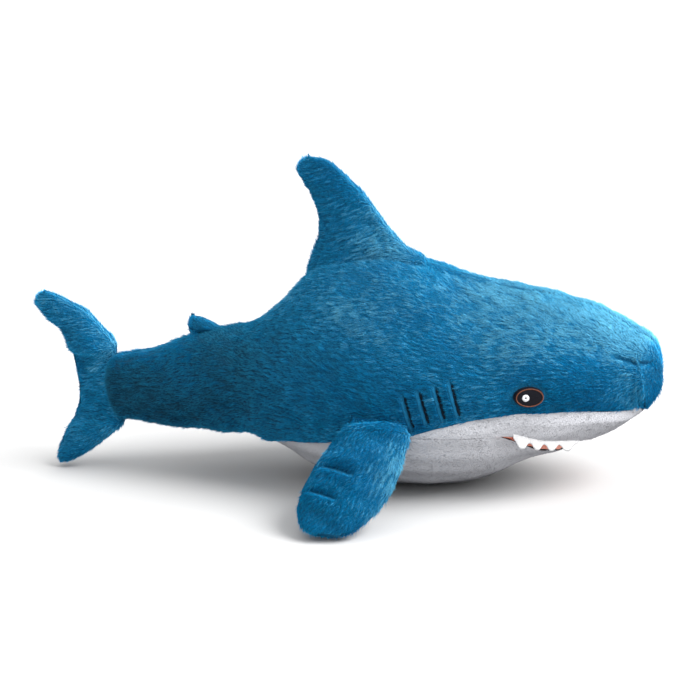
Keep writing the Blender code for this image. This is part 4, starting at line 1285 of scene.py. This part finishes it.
def flipper_creases(sheet, form, reach):
    """Two folds across the upper face, with the stuffing swelling between them."""
    level = (sheet.points - form.centre) @ form.axis
    across = (sheet.points - form.centre) @ form.chord
    lead, trail, _ = form.slice(level)
    chord = (across - (lead + trail) / 2) / ((lead - trail) / 2)
    push = 0.0 * level
    for start, end in FLIPPER_CREASES:
        off, inside = along_segment(level / reach, chord * 0.5, (start[0], start[1] * 0.5),
                                    (end[0], end[1] * 0.5))
        off_mm = off * reach
        swells = valley(off_mm - 3.5, depth=0.7, width=2.6) + valley(off_mm + 3.5, depth=0.7, width=2.6)
        push += inside * (valley(off_mm, depth=1.5, width=1.1) - swells)
    return push


def hide_stuffing():
    """The stuffing lies inside the covers, which stand for it."""
    for cover_name, node in (("head_cover_right", "body_stuffing_front"),
                             ("tail_stem_cover_right", "body_stuffing_rear"),
                             ("dorsal_fin_cover_right", "dorsal_fin_stuffing"),
                             ("tail_fin_cover_right", "tail_fin_stuffing"),
                             ("flipper_right_upper_cover", "flipper_right_stuffing"),
                             ("flipper_left_upper_cover", "flipper_left_stuffing")):
        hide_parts(node)


# --- Stage ---------------------------------------------------------------------------------------

FLOOR_REACH = 30.0
FLOOR_GREY = (0.52, 0.52, 0.52, 1.0)
LAMP_POWER = 5.2
LAMP_WIDTH = 34.0  # in degrees, for soft shadows
LAMP_WAY = (-0.95, 0.15, -0.85)
ROOM_BRIGHTEST = (0.4, -0.05, 0.91)  # towards here
ROOM_GLOW = (("From Min", -0.1), ("From Max", 1.0), ("To Min", 0.18), ("To Max", 1.8))
CAMERA_PLACE = (0.2184, -0.6840, 0.2505)
CAMERA_RIGHT = (0.9589, 0.2756, -0.0671)
CAMERA_BACK = (0.2835, -0.9240, 0.2565)
LENS = 83.2


def stage():
    """A pale floor, a white room and one large soft lamp high beyond the nose."""
    mesh = bpy.data.meshes.new("floor")
    corners = [(x * FLOOR_REACH, y * FLOOR_REACH, 0) for x, y in ((-1, -1), (1, -1), (1, 1), (-1, 1))]
    mesh.from_pydata(corners, [], [(0, 1, 2, 3)])
    paint = Nodes("floor", 1.0)
    paint.shader.inputs["Base Color"].default_value = FLOOR_GREY
    mesh.materials.append(paint.material)
    placed("floor", mesh)

    bpy.context.scene.world = studio()
    bpy.context.scene.view_settings.view_transform = "Standard"

    light = bpy.data.lights.new("lamp", "SUN")
    light.energy = LAMP_POWER
    light.angle = math.radians(LAMP_WIDTH)
    placed("lamp", light).rotation_euler = Vector(LAMP_WAY).to_track_quat("-Z", "Y").to_euler()


def studio():
    """A white room, brightest overhead and a little towards the nose, with a white backdrop."""
    world = bpy.data.worlds.new("studio")
    nodes = Tree(world)
    room = nodes.tree.nodes["Background"]
    backdrop = nodes.add("Background")
    for node in (room, backdrop):
        node.inputs["Color"].default_value = (*WHITE, 1.0)
    towards = nodes.add("VectorMath", operation="DOT_PRODUCT")
    towards.inputs[1].default_value = ROOM_BRIGHTEST
    nodes.link(nodes.add("TexCoord").outputs["Generated"], towards.inputs[0])
    glow = nodes.add("MapRange", interpolation_type="SMOOTHSTEP")
    for key, value in ROOM_GLOW:
        glow.inputs[key].default_value = value
    nodes.link(towards.outputs["Value"], glow.inputs["Value"])
    nodes.link(glow.outputs["Result"], room.inputs["Strength"])
    mix = nodes.add("MixShader")
    nodes.link(nodes.add("LightPath").outputs["Is Camera Ray"], mix.inputs[0])
    nodes.link(room.outputs[0], mix.inputs[1])
    nodes.link(backdrop.outputs[0], mix.inputs[2])
    nodes.link(mix.outputs[0], nodes.tree.nodes["World Output"].inputs["Surface"])
    return world


def camera():
    data = bpy.data.cameras.new("camera")
    data.lens = LENS
    data.sensor_width = 36.0
    data.clip_end = 10.0
    obj = placed("camera", data)
    back = Vector(CAMERA_BACK).normalized()
    up = back.cross(Vector(CAMERA_RIGHT)).normalized()
    turn = Matrix((up.cross(back), up, back)).transposed().to_4x4()
    obj.matrix_world = Matrix.Translation(CAMERA_PLACE) @ turn
    bpy.context.scene.camera = obj


# --- The shark -----------------------------------------------------------------------------------

back_covers()
belly_covers()
throat_cover()
snout_cover()
linings()
teeth()
eyes()
gill_threads()
closing_seam()
dorsal_cover()
second_dorsal_cover()
tail_cover()
flipper_covers()
hide_stuffing()
stage()
camera()
